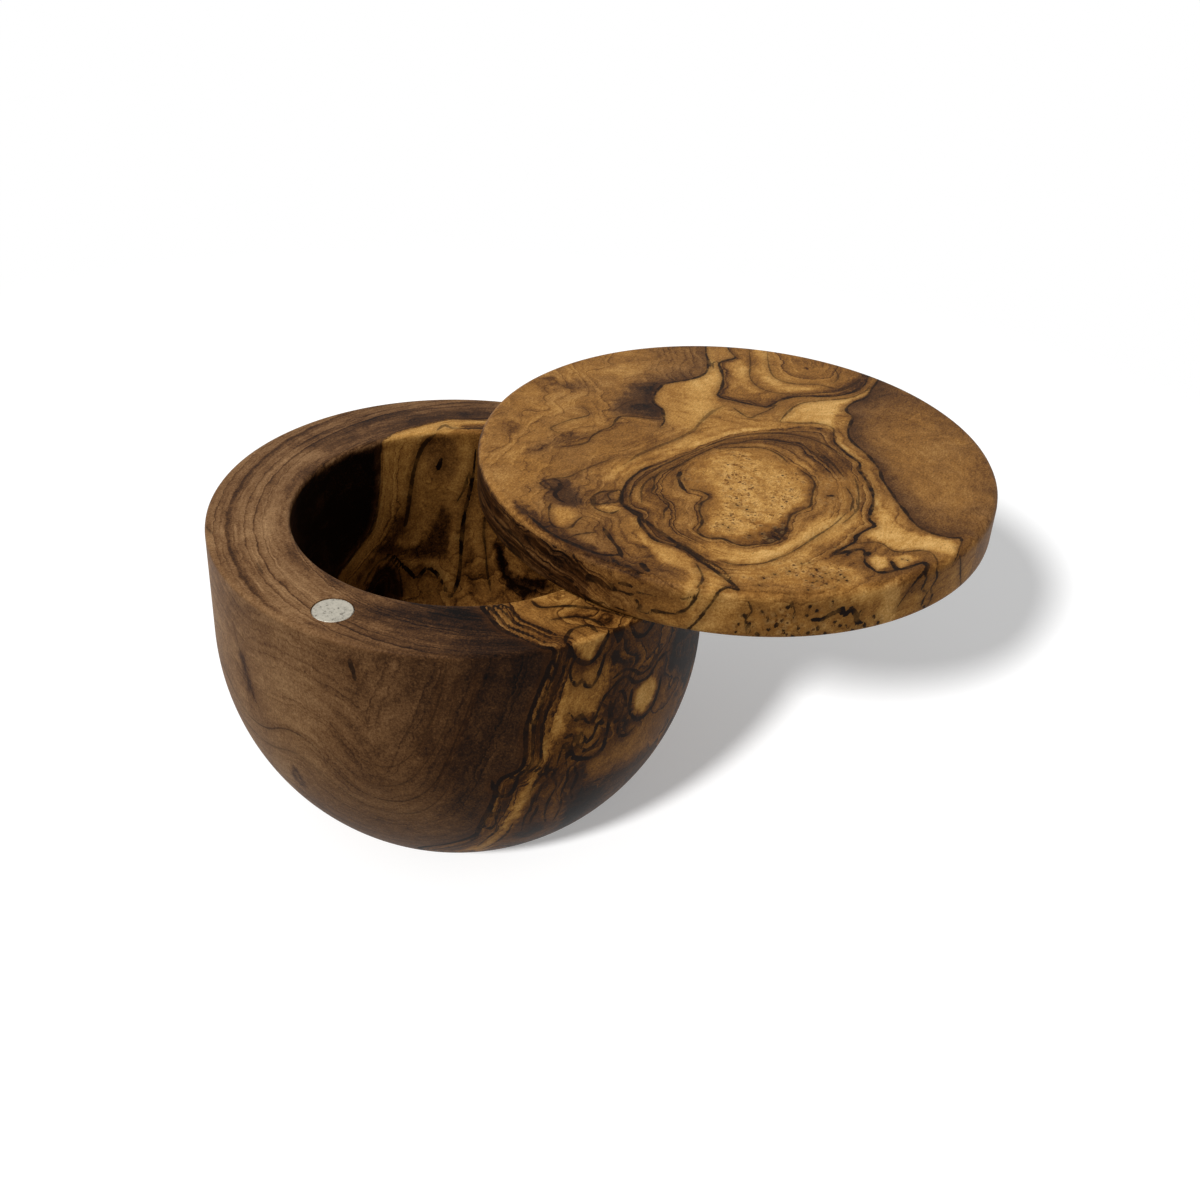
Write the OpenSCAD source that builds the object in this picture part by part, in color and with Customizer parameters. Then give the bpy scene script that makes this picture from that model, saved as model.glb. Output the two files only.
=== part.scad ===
// Round salt keeper in turned olive wood, with a flat lid that swings open on an upright pin.
// Origin at the centre of the bowl's underside, +Z up, +Y away from the viewer. Millimetres.

/* [Bowl] */
// Outside diameter of the bowl at its rim
bowl_d = 104; // [96:1:120]
// Height of the bowl, without the lid
bowl_h = 70.5; // [64:0.5:78]
// Width of the flat rim, from the cavity to the outside
rim_w = 16.9; // [15:0.1:18]
// Height of the straight wall between the rim and the belly
straight_h = 24; // [16:0.5:28]
// Diameter of the flat foot, where the belly's curve ends
foot_d = 52.7; // [50:0.1:66]
// Thickness of the wood under the cavity
floor_t = 14; // [12:0.5:18]
// Radius where the cavity's wall runs into its floor
cavity_round = 18; // [14:1:24]
// Radius of the eased edges of the rim
rim_ease = 0.8; // [0.4:0.1:1.5]

/* [Lid] */
// How far the lid reaches past the bowl all round
lid_over = 3; // [0:0.5:6]
// Thickness of the lid
lid_t = 9.8; // [8:0.1:14]
// Radius of the lid's rounded upper edge
lid_top_ease = 1.5; // [1:0.1:3]
// Radius of the lid's eased lower edge
lid_bottom_ease = 1; // [0.4:0.1:1.5]
// Hairline gap between the rim and the underside of the lid
lid_gap = 0.15; // [0.1:0.05:0.5]
// How far the lid is swung open, in degrees; at 0 it is shut
lid_open = 90; // [0:5:360]

/* [Pivot] */
// Distance of the pin's axis in from the outside of the bowl
pivot_in = 10.3; // [9:0.1:10.5]
// Direction of the pin from the bowl's axis, in degrees from +X towards +Y
pivot_at = 59.6; // [0:0.1:180]
// Diameter of the steel pin
pin_d = 5; // [4:0.5:6]
// Length of pin held in the lid
pin_in_lid = 6.5; // [5:0.5:7]
// Length of pin that reaches down into the bowl's wall
pin_in_bowl = 20; // [12:1:22]
// Radial play of the pin in the bowl's bore
pin_play = 0.05; // [0.02:0.01:0.1]

/* [Magnets] */
// Diameter of each disc magnet
magnet_d = 8; // [5:0.5:9]
// Thickness of each disc magnet
magnet_t = 3; // [2:0.5:4]
// Distance of the rim magnet's axis in from the outside of the bowl
magnet_in = 8; // [7:0.1:8.5]
// Direction of the rim magnet from the bowl's axis, in degrees from +X towards +Y
magnet_at = -116.5; // [-165:0.1:-15]
// How far each magnet lies below the face it is let into
magnet_sunk = 0.1; // [0.05:0.05:0.5]
// Radial room for the glue round each magnet
glue_gap = 0.1; // [0.05:0.05:0.2]

/* [Hidden] */
$fn = 128;

bowl_r = bowl_d / 2;
foot_r = foot_d / 2;
cavity_r = bowl_r - rim_w;
belly_top = bowl_h - straight_h;
// The belly's arc leaves the straight wall without a break and ends at the foot
belly_in = bowl_r - foot_r;
belly_r = (belly_in * belly_in + belly_top * belly_top) / (2 * belly_in);
lid_r = bowl_r + lid_over;
lid_z = bowl_h + lid_gap;
pivot_out = bowl_r - pivot_in;
pin_r = pin_d / 2;
pin_chamfer = pin_d / 8;
magnet_out = bowl_r - magnet_in;
magnet_r = magnet_d / 2;
magnet_chamfer = magnet_t / 15;
// How far a cutting shape reaches past the face it cuts
past = 1;

walnut_brown = [0.45, 0.31, 0.19];
golden_brown = [0.66, 0.47, 0.25];
nickel = [0.72, 0.72, 0.70];
steel = [0.55, 0.56, 0.58];

// Waste outside a rounded corner at the origin, for wood that lies to its lower left
module corner_waste(ease) {
    translate([-ease, -ease])
        difference() {
            square(ease + past);
            circle(r = ease);
        }
}

// Outer form, from the axis outwards: a straight wall over a belly that rolls under to the foot
module bowl_outline() {
    translate([0, belly_top])
        square([bowl_r, straight_h]);
    square([foot_r, belly_top]);
    intersection() {
        square([bowl_r + past, belly_top]);
        translate([bowl_r - belly_r, belly_top])
            circle(r = belly_r);
    }
}

// Cavity, from the axis outwards: a straight wall that sweeps into a flat floor
module cavity_outline() {
    round_z = floor_t + cavity_round;
    round_x = cavity_r - cavity_round;
    translate([0, round_z])
        square([cavity_r, bowl_h + past - round_z]);
    translate([0, floor_t])
        square([round_x, cavity_round]);
    intersection() {
        translate([round_x, floor_t - past])
            square([cavity_round + past, cavity_round + past]);
        translate([round_x, round_z])
            circle(r = cavity_round);
    }
}

// Section of the bowl, with both edges of the rim eased
module bowl_section() {
    difference() {
        bowl_outline();
        cavity_outline();
        translate([bowl_r, bowl_h])
            corner_waste(rim_ease);
        translate([cavity_r, bowl_h])
            mirror([1, 0])
                corner_waste(rim_ease);
    }
}

// Section of the lid, from the axis outwards, with its underside on the baseline
module lid_section() {
    difference() {
        square([lid_r, lid_t]);
        translate([lid_r, lid_t])
            corner_waste(lid_top_ease);
        translate([lid_r, 0])
            mirror([0, 1])
                corner_waste(lid_bottom_ease);
    }
}

// Places a shape over the pivot
module at_pivot(z) {
    rotate(pivot_at)
        translate([pivot_out, 0, z])
            children();
}

// Places a shape over the rim magnet
module at_magnet(z) {
    rotate(magnet_at)
        translate([magnet_out, 0, z])
            children();
}

// Swings what is drawn on the shut lid round the pivot, to where the lid is open
module swing() {
    at_pivot(0)
        rotate(lid_open)
            translate([-pivot_out, 0, 0])
                rotate(-pivot_at)
                    children();
}

// Round bar standing on the origin, with both ends chamfered
module chamfered_bar(r, length, chamfer) {
    rotate_extrude()
        polygon([
            [0, 0],
            [r - chamfer, 0],
            [r, chamfer],
            [r, length - chamfer],
            [r - chamfer, length],
            [0, length]
        ]);
}

// Flat-bottomed pocket that holds a magnet below the face at the origin
module magnet_pocket() {
    translate([0, 0, -magnet_sunk - magnet_t])
        cylinder(r = magnet_r + glue_gap, h = magnet_t + magnet_sunk + past);
}

// Magnet let into the face at the origin
module magnet() {
    translate([0, 0, -magnet_sunk - magnet_t])
        chamfered_bar(magnet_r, magnet_t, magnet_chamfer);
}

// The turned bowl, bored for the pin and pocketed for its magnet
module bowl() {
    color(walnut_brown)
        difference() {
            rotate_extrude()
                bowl_section();
            at_pivot(bowl_h - pin_in_bowl)
                cylinder(r = pin_r + pin_play, h = pin_in_bowl + past);
            at_magnet(bowl_h)
                magnet_pocket();
        }
}

// The turned lid, bored blind from below for the pin and pocketed for its magnet
module lid() {
    color(golden_brown)
        swing()
            difference() {
                translate([0, 0, lid_z])
                    rotate_extrude()
                        lid_section();
                at_pivot(lid_z - past)
                    cylinder(r = pin_r, h = pin_in_lid + past);
                at_magnet(lid_z)
                    mirror([0, 0, 1])
                        magnet_pocket();
            }
}

// Steel dowel pin, driven into the lid and free to turn in the bowl
module pivot_pin() {
    color(steel)
        swing()
            at_pivot(lid_z - pin_in_bowl)
                chamfered_bar(pin_r, pin_in_bowl + pin_in_lid, pin_chamfer);
}

// Disc magnet in the rim
module rim_magnet() {
    color(nickel)
        at_magnet(bowl_h)
            magnet();
}

// Disc magnet in the underside of the lid, over the rim magnet when the lid is shut
module lid_magnet() {
    color(nickel)
        swing()
            at_magnet(lid_z)
                mirror([0, 0, 1])
                    magnet();
}

bowl();
lid();
pivot_pin();
rim_magnet();
lid_magnet();
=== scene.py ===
import math

import bpy
import numpy as np
from mathutils import Matrix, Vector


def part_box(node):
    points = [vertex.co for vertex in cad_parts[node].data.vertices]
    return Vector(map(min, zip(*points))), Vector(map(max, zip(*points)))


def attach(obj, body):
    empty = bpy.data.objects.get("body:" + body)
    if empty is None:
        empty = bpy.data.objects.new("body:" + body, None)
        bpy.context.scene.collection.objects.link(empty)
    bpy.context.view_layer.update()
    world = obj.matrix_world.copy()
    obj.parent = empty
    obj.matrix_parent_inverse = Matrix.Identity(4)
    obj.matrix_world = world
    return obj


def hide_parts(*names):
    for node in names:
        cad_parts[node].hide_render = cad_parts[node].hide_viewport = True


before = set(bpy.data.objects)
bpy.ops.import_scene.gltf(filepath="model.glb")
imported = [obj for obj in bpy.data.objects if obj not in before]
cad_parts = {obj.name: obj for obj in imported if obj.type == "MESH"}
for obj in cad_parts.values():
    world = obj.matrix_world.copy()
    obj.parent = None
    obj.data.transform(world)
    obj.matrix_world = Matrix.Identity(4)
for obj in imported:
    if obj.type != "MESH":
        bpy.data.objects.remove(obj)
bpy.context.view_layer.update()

# The bowl: a thick block of olive wood turned on a lathe, with a flat rim, a straight wall and
# a belly that rolls under to a flat foot. It is mostly walnut-brown heartwood, with a wedge of
# golden, black-veined wood down its right side. Its rim is bored for the pin and for a magnet.
MM = 0.001
RIM_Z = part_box("bowl")[1].z / MM
BOWL_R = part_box("bowl")[1].x / MM
RIM_WIDTH = 16.9
STRAIGHT = 24.0
FOOT_R = 26.35
FLOOR_Z = 14.0
CAVITY_ROUND = 18.0
RIM_EASE = 0.8
PIN_BORE_R, PIN_BORE_DEPTH = 2.55, 20
POCKET_R, POCKET_DEPTH = 4.1, 3.1
CAVITY_R = BOWL_R - RIM_WIDTH
BELLY_TOP = RIM_Z - STRAIGHT
BELLY_R = ((BOWL_R - FOOT_R) ** 2 + BELLY_TOP ** 2) / (2 * (BOWL_R - FOOT_R))
BELLY_TURN = math.asin(BELLY_TOP / BELLY_R)
WALL_END = STRAIGHT + BELLY_R * BELLY_TURN
ROUND_Z = FLOOR_Z + CAVITY_ROUND
ROUND_R = CAVITY_R - CAVITY_ROUND
FULL_TURN = 360
DEGREE = math.radians(1)
# the mesh: facets round it and round its holes, the angle at which an edge counts as sharp, the
# radius of the sweep's path, the weld on the axis, and how near to an arc a point lies on it, in mm
FACETS, HOLE_FACETS = 416, 96
SHARP = math.radians(35)
AXLE = 10.0
WELD = 0.001
ON_ARC = 0.2


def arc(centre, radius, start, stop, count):
    """Points along an arc, angles in radians, without its last point."""
    turns = np.linspace(start, stop, count, endpoint=False)
    return [(centre[0] + radius * math.cos(a), centre[1] + radius * math.sin(a)) for a in turns]


def straight(start, stop, count):
    """Points along a straight line, without its last point."""
    return [tuple(p) for p in np.linspace(start, stop, count, endpoint=False)]


def mouth(part, height):
    """Where a part's hole opens, in metres, on a face at this height in millimetres."""
    low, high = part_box(part)
    return ((low.x + high.x) / 2, (low.y + high.y) / 2, height * MM)


def node(tree, kind, inputs=None, **settings):
    """Adds a node, sets it up, and fills its inputs with values or links."""
    made = tree.nodes.new(kind)
    for name, value in settings.items():
        setattr(made, name, value)
    for key, value in (inputs or {}).items():
        if isinstance(value, bpy.types.NodeSocket):
            tree.links.new(value, made.inputs[key])
        else:
            made.inputs[key].default_value = value
    return made


def maths(tree, operation, *values, clamp=False):
    """Adds a Math node and returns its result."""
    return node(tree, "ShaderNodeMath", dict(enumerate(values)), operation=operation,
                use_clamp=clamp).outputs[0]


def times(tree, a, b):
    """Adds a node that multiplies, and returns its result."""
    return maths(tree, "MULTIPLY", a, b)


def less(tree, a, b):
    """Adds a node that subtracts, and returns its result."""
    return maths(tree, "SUBTRACT", a, b)


def tree_with(name, **sizes):
    """A Geometry Nodes tree that takes a mesh and these named sizes."""
    tree = bpy.data.node_groups.new(name, "GeometryNodeTree")
    tree.interface.new_socket("Geometry", in_out="INPUT", socket_type="NodeSocketGeometry")
    for label, kind in sizes.items():
        tree.interface.new_socket(label, in_out="INPUT", socket_type="NodeSocket" + kind)
    tree.interface.new_socket("Geometry", in_out="OUTPUT", socket_type="NodeSocketGeometry")
    return tree, node(tree, "NodeGroupInput").outputs


def end_tree(tree, geometry, material):
    """Closes a tree with its instances made real and its material set."""
    real = node(tree, "GeometryNodeRealizeInstances", {"Geometry": geometry})
    coat = node(tree, "GeometryNodeSetMaterial", {"Geometry": real.outputs[0], "Material": material})
    node(tree, "NodeGroupOutput", {"Geometry": coat.outputs[0]})


def made_by(tree, name, mesh, **sizes):
    """Runs a tree on a mesh with its sizes set, and returns the result as a plain object."""
    blank = bpy.data.objects.new(name + "_blank", mesh)
    bpy.context.scene.collection.objects.link(blank)
    modifier = blank.modifiers.new("shape", "NODES")
    modifier.node_group = tree
    for socket in tree.interface.items_tree:
        if socket.in_out == "INPUT" and socket.name in sizes:
            modifier[socket.identifier] = sizes[socket.name]
    evaluated = blank.evaluated_get(bpy.context.evaluated_depsgraph_get())
    result = bpy.data.meshes.new_from_object(evaluated)
    bpy.data.objects.remove(blank)
    result.name = name
    result.shade_smooth()
    result.set_sharp_from_angle(angle=SHARP)
    piece = bpy.data.objects.new(name, result)
    bpy.context.scene.collection.objects.link(piece)
    return piece


def drill(tree, geometry, radius, depth, place, way=1.0):
    """Cuts a round hole from its mouth down into a face, or up into it where way is -1."""
    past = 0.5 * MM
    height = maths(tree, "ADD", depth, past)
    bit = node(tree, "GeometryNodeMeshCylinder",
               {"Vertices": HOLE_FACETS, "Radius": radius, "Depth": height})
    drop = less(tree, past, times(tree, height, 0.5))
    lift = node(tree, "ShaderNodeCombineXYZ", {"Z": times(tree, drop, way)})
    where = node(tree, "ShaderNodeVectorMath", {0: place, 1: lift.outputs[0]}, operation="ADD")
    moved = node(tree, "GeometryNodeTransform",
                 {"Geometry": bit.outputs["Mesh"], "Translation": where.outputs[0]})
    cut = node(tree, "GeometryNodeMeshBoolean", {"Mesh 1": geometry, "Mesh 2": moved.outputs[0]},
               operation="DIFFERENCE", solver="EXACT")
    return cut.outputs["Mesh"]


def bowl_tree(material):
    """Revolves the template's edge line round the upright axis, then bores the two holes."""
    tree, given = tree_with("turned_bowl", Facets="Int", Axle="Float", Weld="Float",
                            Pin_radius="Float", Pin_depth="Float", Pin_mouth="Vector",
                            Pocket_radius="Float", Pocket_depth="Float", Pocket_mouth="Vector")
    line = node(tree, "GeometryNodeMeshToCurve", {"Mesh": given["Geometry"]})
    axle = node(tree, "GeometryNodeCurvePrimitiveCircle",
                {"Resolution": given["Facets"], "Radius": given["Axle"]}, mode="RADIUS")
    swept = node(tree, "GeometryNodeCurveToMesh",
                 {"Curve": axle.outputs["Curve"], "Profile Curve": line.outputs[0]})
    closed = node(tree, "GeometryNodeMergeByDistance",
                  {"Geometry": swept.outputs[0], "Distance": given["Weld"]})
    faced = node(tree, "GeometryNodeFlipFaces", {"Mesh": closed.outputs[0]})
    bored = drill(tree, faced.outputs[0], given["Pin_radius"], given["Pin_depth"], given["Pin_mouth"])
    end_tree(tree, drill(tree, bored, given["Pocket_radius"], given["Pocket_depth"],
                         given["Pocket_mouth"]), material)
    return tree


def smooth_line(points, closed=False, steps=5):
    """A smooth line through the given points."""
    p = np.array(points, float).reshape(-1, 2)
    if closed:
        p = np.vstack([p[-1:], p, p[:2]])
    else:
        p = np.vstack([2 * p[:1] - p[1:2], p, 2 * p[-1:] - p[-2:-1]])
    t = np.linspace(0, 1, steps, endpoint=False)[:, None]
    spans = [b + 0.5 * t * (c - a + t * (2 * a - 5 * b + 4 * c - d + t * (3 * (b - c) + d - a)))
             for a, b, c, d in zip(p, p[1:], p[2:], p[3:])]
    return np.vstack(spans + [p[-2:-1]])


def off_line(line, places, stretch, turn=None):
    """The nearest point of a line, seen from each place. Five rows: how far it is in mm, its two
    steps in mm, how far along the line it is, 0 to 1, and 1 or -1 for the line's left or right."""
    found = np.zeros((5, len(places)))
    found[0] = 1e9
    for k, (a, b) in enumerate(zip(line, line[1:])):
        across = a[0] - places[:, 0]
        if turn:
            across = (across + turn / 2) % turn - turn / 2
        ax, ay = across * stretch, a[1] - places[:, 1]
        ux, uy = (b[0] - a[0]) * stretch, b[1] - a[1]
        t = np.clip(-(ax * ux + ay * uy) / (ux * ux + uy * uy + 1e-9), 0, 1)
        gx, gy = ax + t * ux, ay + t * uy
        gap = np.hypot(gx, gy)
        closer = gap < found[0]
        rows = np.stack([gap, gx, gy, (k + t) / (len(line) - 1), np.where(uy * gx > ux * gy, 1, -1)])
        found[:, closer] = rows[:, closer]
    return found


def inside(outline, places, stretch, turn=None):
    """How far each place is inside a closed outline, in mm, and below 0 outside it."""
    within = np.zeros(len(places), bool)
    for shift in ((-turn, 0, turn) if turn else (0,)):
        x, y = places[:, 0] + shift, places[:, 1]
        odd = np.zeros(len(places), bool)
        for a, b in zip(outline, outline[1:]):
            if a[1] != b[1]:
                odd ^= ((a[1] > y) != (b[1] > y)) & (x < (b[0] - a[0]) * (y - a[1]) / (b[1] - a[1]) + a[0])
        within |= odd
    edge = off_line(outline, places, stretch, turn)[0]
    return np.where(within, edge, -edge)


class Figure:
    """The wood's figure, held as one number of each kind at every point of a piece."""

    def __init__(self, piece, places, stretch, turn, **start):
        self.piece, self.places, self.turn = piece, places, turn
        self.stretch = stretch * np.ones(len(places))
        self.kinds = {kind: np.full(len(places), float(value)) for kind, value in start.items()}
        self.kinds.update({kind: np.zeros(len(places)) for kind in ("shade", "ink", "half", "gx", "gy")})
        self.kinds["gap"] = np.full(len(places), 9.0)
        across, up = places[:, 0] * self.stretch, places[:, 1]
        waves = ((0.9, 0.5, 0.3), (-0.5, 1.1, 1.9), (1.6, -0.9, 4.0), (0.8, 2.0, 2.2), (-2.2, 1.5, 0.8))
        self.waver = 0.22 * sum(np.sin(a * across + b * up + c + 1.7 * np.sin(b * across - a * up))
                                for a, b, c in waves)

    def near(self, line, reach):
        """Which places lie within reach of the box round a line, with what off_line needs."""
        low, high = line.min(0), line.max(0)
        across = (low[0] + high[0]) / 2 - self.places[:, 0]
        if self.turn:
            across = (across + self.turn / 2) % self.turn - self.turn / 2
        close = (np.abs(across) - (high[0] - low[0]) / 2) * self.stretch < reach
        close &= (self.places[:, 1] > low[1] - reach) & (self.places[:, 1] < high[1] + reach)
        return close, self.places[close], self.stretch[close]

    def patch(self, soft, tone, outline, **values):
        """Lays a patch of this tone and these values over what is there, its edge soft mm wide."""
        outline = smooth_line(outline, closed=True)
        close, places, stretch = self.near(outline, soft + 3)
        deep = inside(outline, places, stretch, self.turn) + min(soft, 1.5) * self.waver[close]
        share = np.clip(0.5 + deep / (2 * soft), 0, 1)
        share = share * share * (3 - 2 * share)
        for kind, value in dict(values, tone=tone).items():
            self.kinds[kind][close] += (value - self.kinds[kind][close]) * share

    def veins(self, half, ink, *lines, shade=None):
        """Draws dark veins of this half width in mm, which taper to their ends. A shade is a
        side, 1 for left or -1 for right, a reach in mm and a strength, for stained wood beside it."""
        for points in lines:
            line = smooth_line(points)
            close, places, stretch = self.near(line, max(4, shade[1] if shade else 0))
            gap, gx, gy, along, side = off_line(line, places, stretch, self.turn)
            taper = np.clip(0.3 + 7 * np.minimum(along, 1 - along), 0, 1)
            width = half * taper * (0.88 + 0.25 * np.sin(along * len(line) * 0.55 + line[0, 0]))
            old = {kind: self.kinds[kind][close] for kind in ("gap", "gx", "gy", "half", "ink")}
            over = width - gap > old["half"] - old["gap"]
            new = {"gap": gap, "gx": gx, "gy": gy, "half": width, "ink": np.full(len(gap), ink)}
            for kind, values in new.items():
                self.kinds[kind][close] = np.where(over, values, old[kind])
            if shade:
                dark = shade[2] * np.clip(1 - gap / shade[1], 0, 1) ** 1.3 * taper * (side == shade[0])
                self.kinds["shade"][close] = np.maximum(self.kinds["shade"][close], dark)

    def store(self):
        """Writes the figure to the mesh, for the material to read."""
        step_to_vein = np.column_stack([self.kinds.pop(kind) for kind in ("gx", "gy", "gap")])
        layer = self.piece.data.attributes.new("to_vein", "FLOAT_VECTOR", "POINT")
        layer.data.foreach_set("vector", step_to_vein.astype(np.float32).ravel())
        for kind, values in self.kinds.items():
            layer = self.piece.data.attributes.new(kind, "FLOAT", "POINT")
            layer.data.foreach_set("value", values.astype(np.float32))


def points_of(piece):
    """The piece's vertices, in millimetres."""
    flat = np.empty(len(piece.data.vertices) * 3, np.float32)
    piece.data.vertices.foreach_get("co", flat)
    return flat.reshape(-1, 3).astype(float) / MM


def ramp(tree, factor, *stops):
    """A Color Ramp node through (position, red, green, blue), colours as seen, 0 to 255."""
    made = node(tree, "ShaderNodeValToRGB", {"Fac": factor})
    for i, (position, *shade) in enumerate(stops):
        stop = made.color_ramp.elements[i] if i < 2 else made.color_ramp.elements.new(position)
        stop.position = position
        stop.color = seen(*shade)
    return made.outputs["Color"]


def seen(red, green, blue):
    """A colour as the eye reads it, 0 to 255, turned into the renderer's own."""
    return tuple((c / 255) ** 2.2 for c in (red, green, blue)) + (1.0,)


def step(tree, value, low, high, bottom=0.0, top=1.0):
    """Maps low..high to bottom..top with a smooth, clamped step."""
    return node(tree, "ShaderNodeMapRange",
                {"Value": value, "From Min": low, "From Max": high, "To Min": bottom, "To Max": top},
                interpolation_type="SMOOTHSTEP").outputs["Result"]


def blend_in(tree, share, under, over):
    """Mixes one colour over another."""
    made = node(tree, "ShaderNodeMix", {"Factor": share}, data_type="RGBA")
    for key, value in ((6, under), (7, over)):
        if isinstance(value, bpy.types.NodeSocket):
            tree.links.new(value, made.inputs[key])
        else:
            made.inputs[key].default_value = value
    return made.outputs[2]


def bare_tree(owner):
    """Empties the node tree of a material or a world, and returns it."""
    owner.use_nodes = True
    owner.node_tree.nodes.clear()
    return owner.node_tree


def olive_wood(name, fibre_turn, fibre):
    """Oiled olive wood. It reads the figure stored on the piece and adds the fine grain."""
    material = bpy.data.materials.new(name)
    tree = bare_tree(material)
    place = node(tree, "ShaderNodeTexCoord").outputs["Object"]
    place = node(tree, "ShaderNodeMapping", {"Vector": place, "Scale": (1000, 1000, 1000)}).outputs[0]
    along = node(tree, "ShaderNodeMapping", {"Vector": place, "Rotation": fibre_turn}).outputs[0]
    along = node(tree, "ShaderNodeMapping", {"Vector": along, "Scale": fibre}).outputs[0]

    def figure(kind):
        return node(tree, "ShaderNodeAttribute", attribute_name=kind).outputs["Fac"]

    def noise(scale, detail, rough=0.5, vector=place, swirl=0.0):
        return node(tree, "ShaderNodeTexNoise",
                    {"Vector": vector, "Scale": scale, "Detail": detail, "Roughness": rough,
                     "Distortion": swirl}).outputs["Fac"]

    def noise_on(value, scale, detail):
        return node(tree, "ShaderNodeTexNoise", {"W": value, "Scale": scale, "Detail": detail},
                    noise_dimensions="1D").outputs["Fac"]

    def swing(value, amount):
        return by(less(tree, value, 0.5), amount)

    def total(*values):
        result = values[0]
        for value in values[1:]:
            result = maths(tree, "ADD", result, value)
        return result

    def by(a, *more):
        for b in more:
            a = times(tree, a, b)
        return a

    def over(share, red, green, blue):
        return blend_in(tree, share, colour, seen(red, green, blue))

    cloud = noise(0.045, 6, 0.6, swirl=0.8)
    drift = noise(0.07, 2, 0.5)
    ripple = noise(0.35, 3, 0.55)
    mist = noise(0.30, 4, 0.65, swirl=0.7)
    fray = noise(1.6, 3, 0.6)
    grit = noise(2.2, 2, 0.7)
    streak = noise(1.0, 4, 0.65, vector=along)
    fine = noise(2.6, 3, 0.65, vector=along)
    lines, shade, half, ink = figure("lines"), figure("shade"), figure("half"), figure("ink")

    # growth rings: each darkens slowly outwards, then ends at a sharp late edge
    ring = total(figure("ring"), by(swing(drift, 9.0), figure("wild")), swing(ripple, 1.1),
                 swing(fray, 0.16))
    ring = total(ring, swing(noise_on(ring, 0.4, 1), 2.4))
    part = maths(tree, "FRACT", ring)
    each = node(tree, "ShaderNodeTexWhiteNoise", {"W": maths(tree, "FLOOR", ring)},
                noise_dimensions="1D").outputs["Value"]
    ending = step(tree, part, 1.0, 0.90)
    late = by(maths(tree, "POWER", part, 2.2), ending, step(tree, each, 0.0, 0.9, 0.2, 1.0))
    hairline = by(step(tree, part, 0.74, 0.88), ending, step(tree, each, 0.30, 0.7))
    band = noise_on(ring, 0.26, 2)
    growth = total(swing(band, 0.75), by(late, -0.40), by(hairline, -0.26))

    # fibres that follow the rings
    by_ring = node(tree, "ShaderNodeCombineXYZ", {0: by(ring, 1.5)}).outputs[0]
    slow = node(tree, "ShaderNodeVectorMath", {0: place, 1: (0.11, 0.11, 0.11), 2: by_ring},
                operation="MULTIPLY_ADD").outputs[0]
    fibres = swing(noise(1.0, 5, 0.7, vector=slow), 0.95)

    tone = total(figure("tone"), by(growth, lines), by(fibres, total(by(lines, 0.8), 0.35)),
                 swing(cloud, 0.60), swing(mist, 0.36), swing(grit, 0.55), swing(streak, 0.20),
                 swing(fine, 0.36), by(shade, -0.42))
    tone = maths(tree, "ADD", tone, 0.0, clamp=True)
    gold = ramp(tree, tone, (0.0, 30, 18, 9), (1.0, 228, 180, 110), (0.2, 76, 48, 24),
                (0.4, 120, 80, 39), (0.6, 160, 112, 56), (0.8, 196, 146, 79))
    walnut = ramp(tree, tone, (0.0, 13, 8, 5), (1.0, 174, 137, 97), (0.2, 46, 30, 20),
                  (0.4, 80, 55, 35), (0.6, 114, 82, 54), (0.8, 144, 110, 76))
    heart = total(figure("heart"), swing(noise(0.11, 4, 0.6, swirl=1.0), 0.55), by(shade, 0.6))
    colour = blend_in(tree, step(tree, heart, 0.0, 1.0), gold, walnut)

    # burl: brown mottling, small dark flecks in clusters, and pin knots with a pale ring
    burl = figure("burl")
    cluster = step(tree, noise(0.15, 2), 0.38, 0.58)
    mottle = by(step(tree, noise(0.70, 4, 0.7, swirl=0.8), 0.45, 0.58), burl)
    colour = over(by(mottle, 0.62), 146, 99, 48)
    knots = node(tree, "ShaderNodeTexVoronoi", {"Vector": place, "Scale": 0.72, "Randomness": 1.0})
    reach = total(knots.outputs["Distance"], swing(fray, 0.30))
    chance = node(tree, "ShaderNodeSeparateColor", {"Color": knots.outputs["Color"]}).outputs[0]
    chosen = by(step(tree, chance, 0.40, 0.50), burl)
    halo = by(step(tree, reach, 0.62, 0.30), chosen, cluster)
    colour = over(by(halo, 0.30), 222, 176, 112)
    pin_knot = by(step(tree, reach, 0.30, 0.13), chosen, cluster)
    fleck = by(step(tree, noise(1.0, 3, 0.7), 0.56, 0.63), burl, step(tree, cluster, 0, 1, 0.4, 1.0))
    colour = over(by(fleck, 0.85), 92, 56, 26)
    colour = over(by(pin_knot, 0.9), 60, 36, 18)

    # black veins: where one runs nearest and how wide it is are stored, so its edge is sharp
    to_vein = node(tree, "ShaderNodeAttribute", attribute_name="to_vein").outputs["Vector"]
    flat = node(tree, "ShaderNodeVectorMath", {0: to_vein, 1: (1, 1, 0)}, operation="MULTIPLY").outputs[0]
    gap = node(tree, "ShaderNodeSeparateXYZ", {0: to_vein}).outputs[2]
    sideways = node(tree, "ShaderNodeVectorMath", {0: flat}, operation="LENGTH").outputs["Value"]
    apart = maths(tree, "MAXIMUM", sideways, by(less(tree, gap, 0.30), 3.0))
    ragged = total(by(swing(fray, 1.5), total(by(half, 0.9), 0.10)), by(swing(mist, 1.6), half))
    core = by(step(tree, total(less(tree, half, apart), ragged), -0.13, 0.12),
              by(ink, step(tree, ripple, 0.36, 0.54, 0.62, 1.0)))
    stain = by(step(tree, total(less(tree, half, gap), swing(mist, 2.6)), -1.7, 0.1), by(ink, 0.42))
    colour = over(stain, 72, 44, 22)
    colour = over(core, 24, 15, 10)

    # pores: short dark dashes along the fibre
    pore = step(tree, noise(2.4, 1, 0.5, vector=along), 0.62, 0.72)
    colour = over(by(pore, 0.35), 38, 24, 14)

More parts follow.
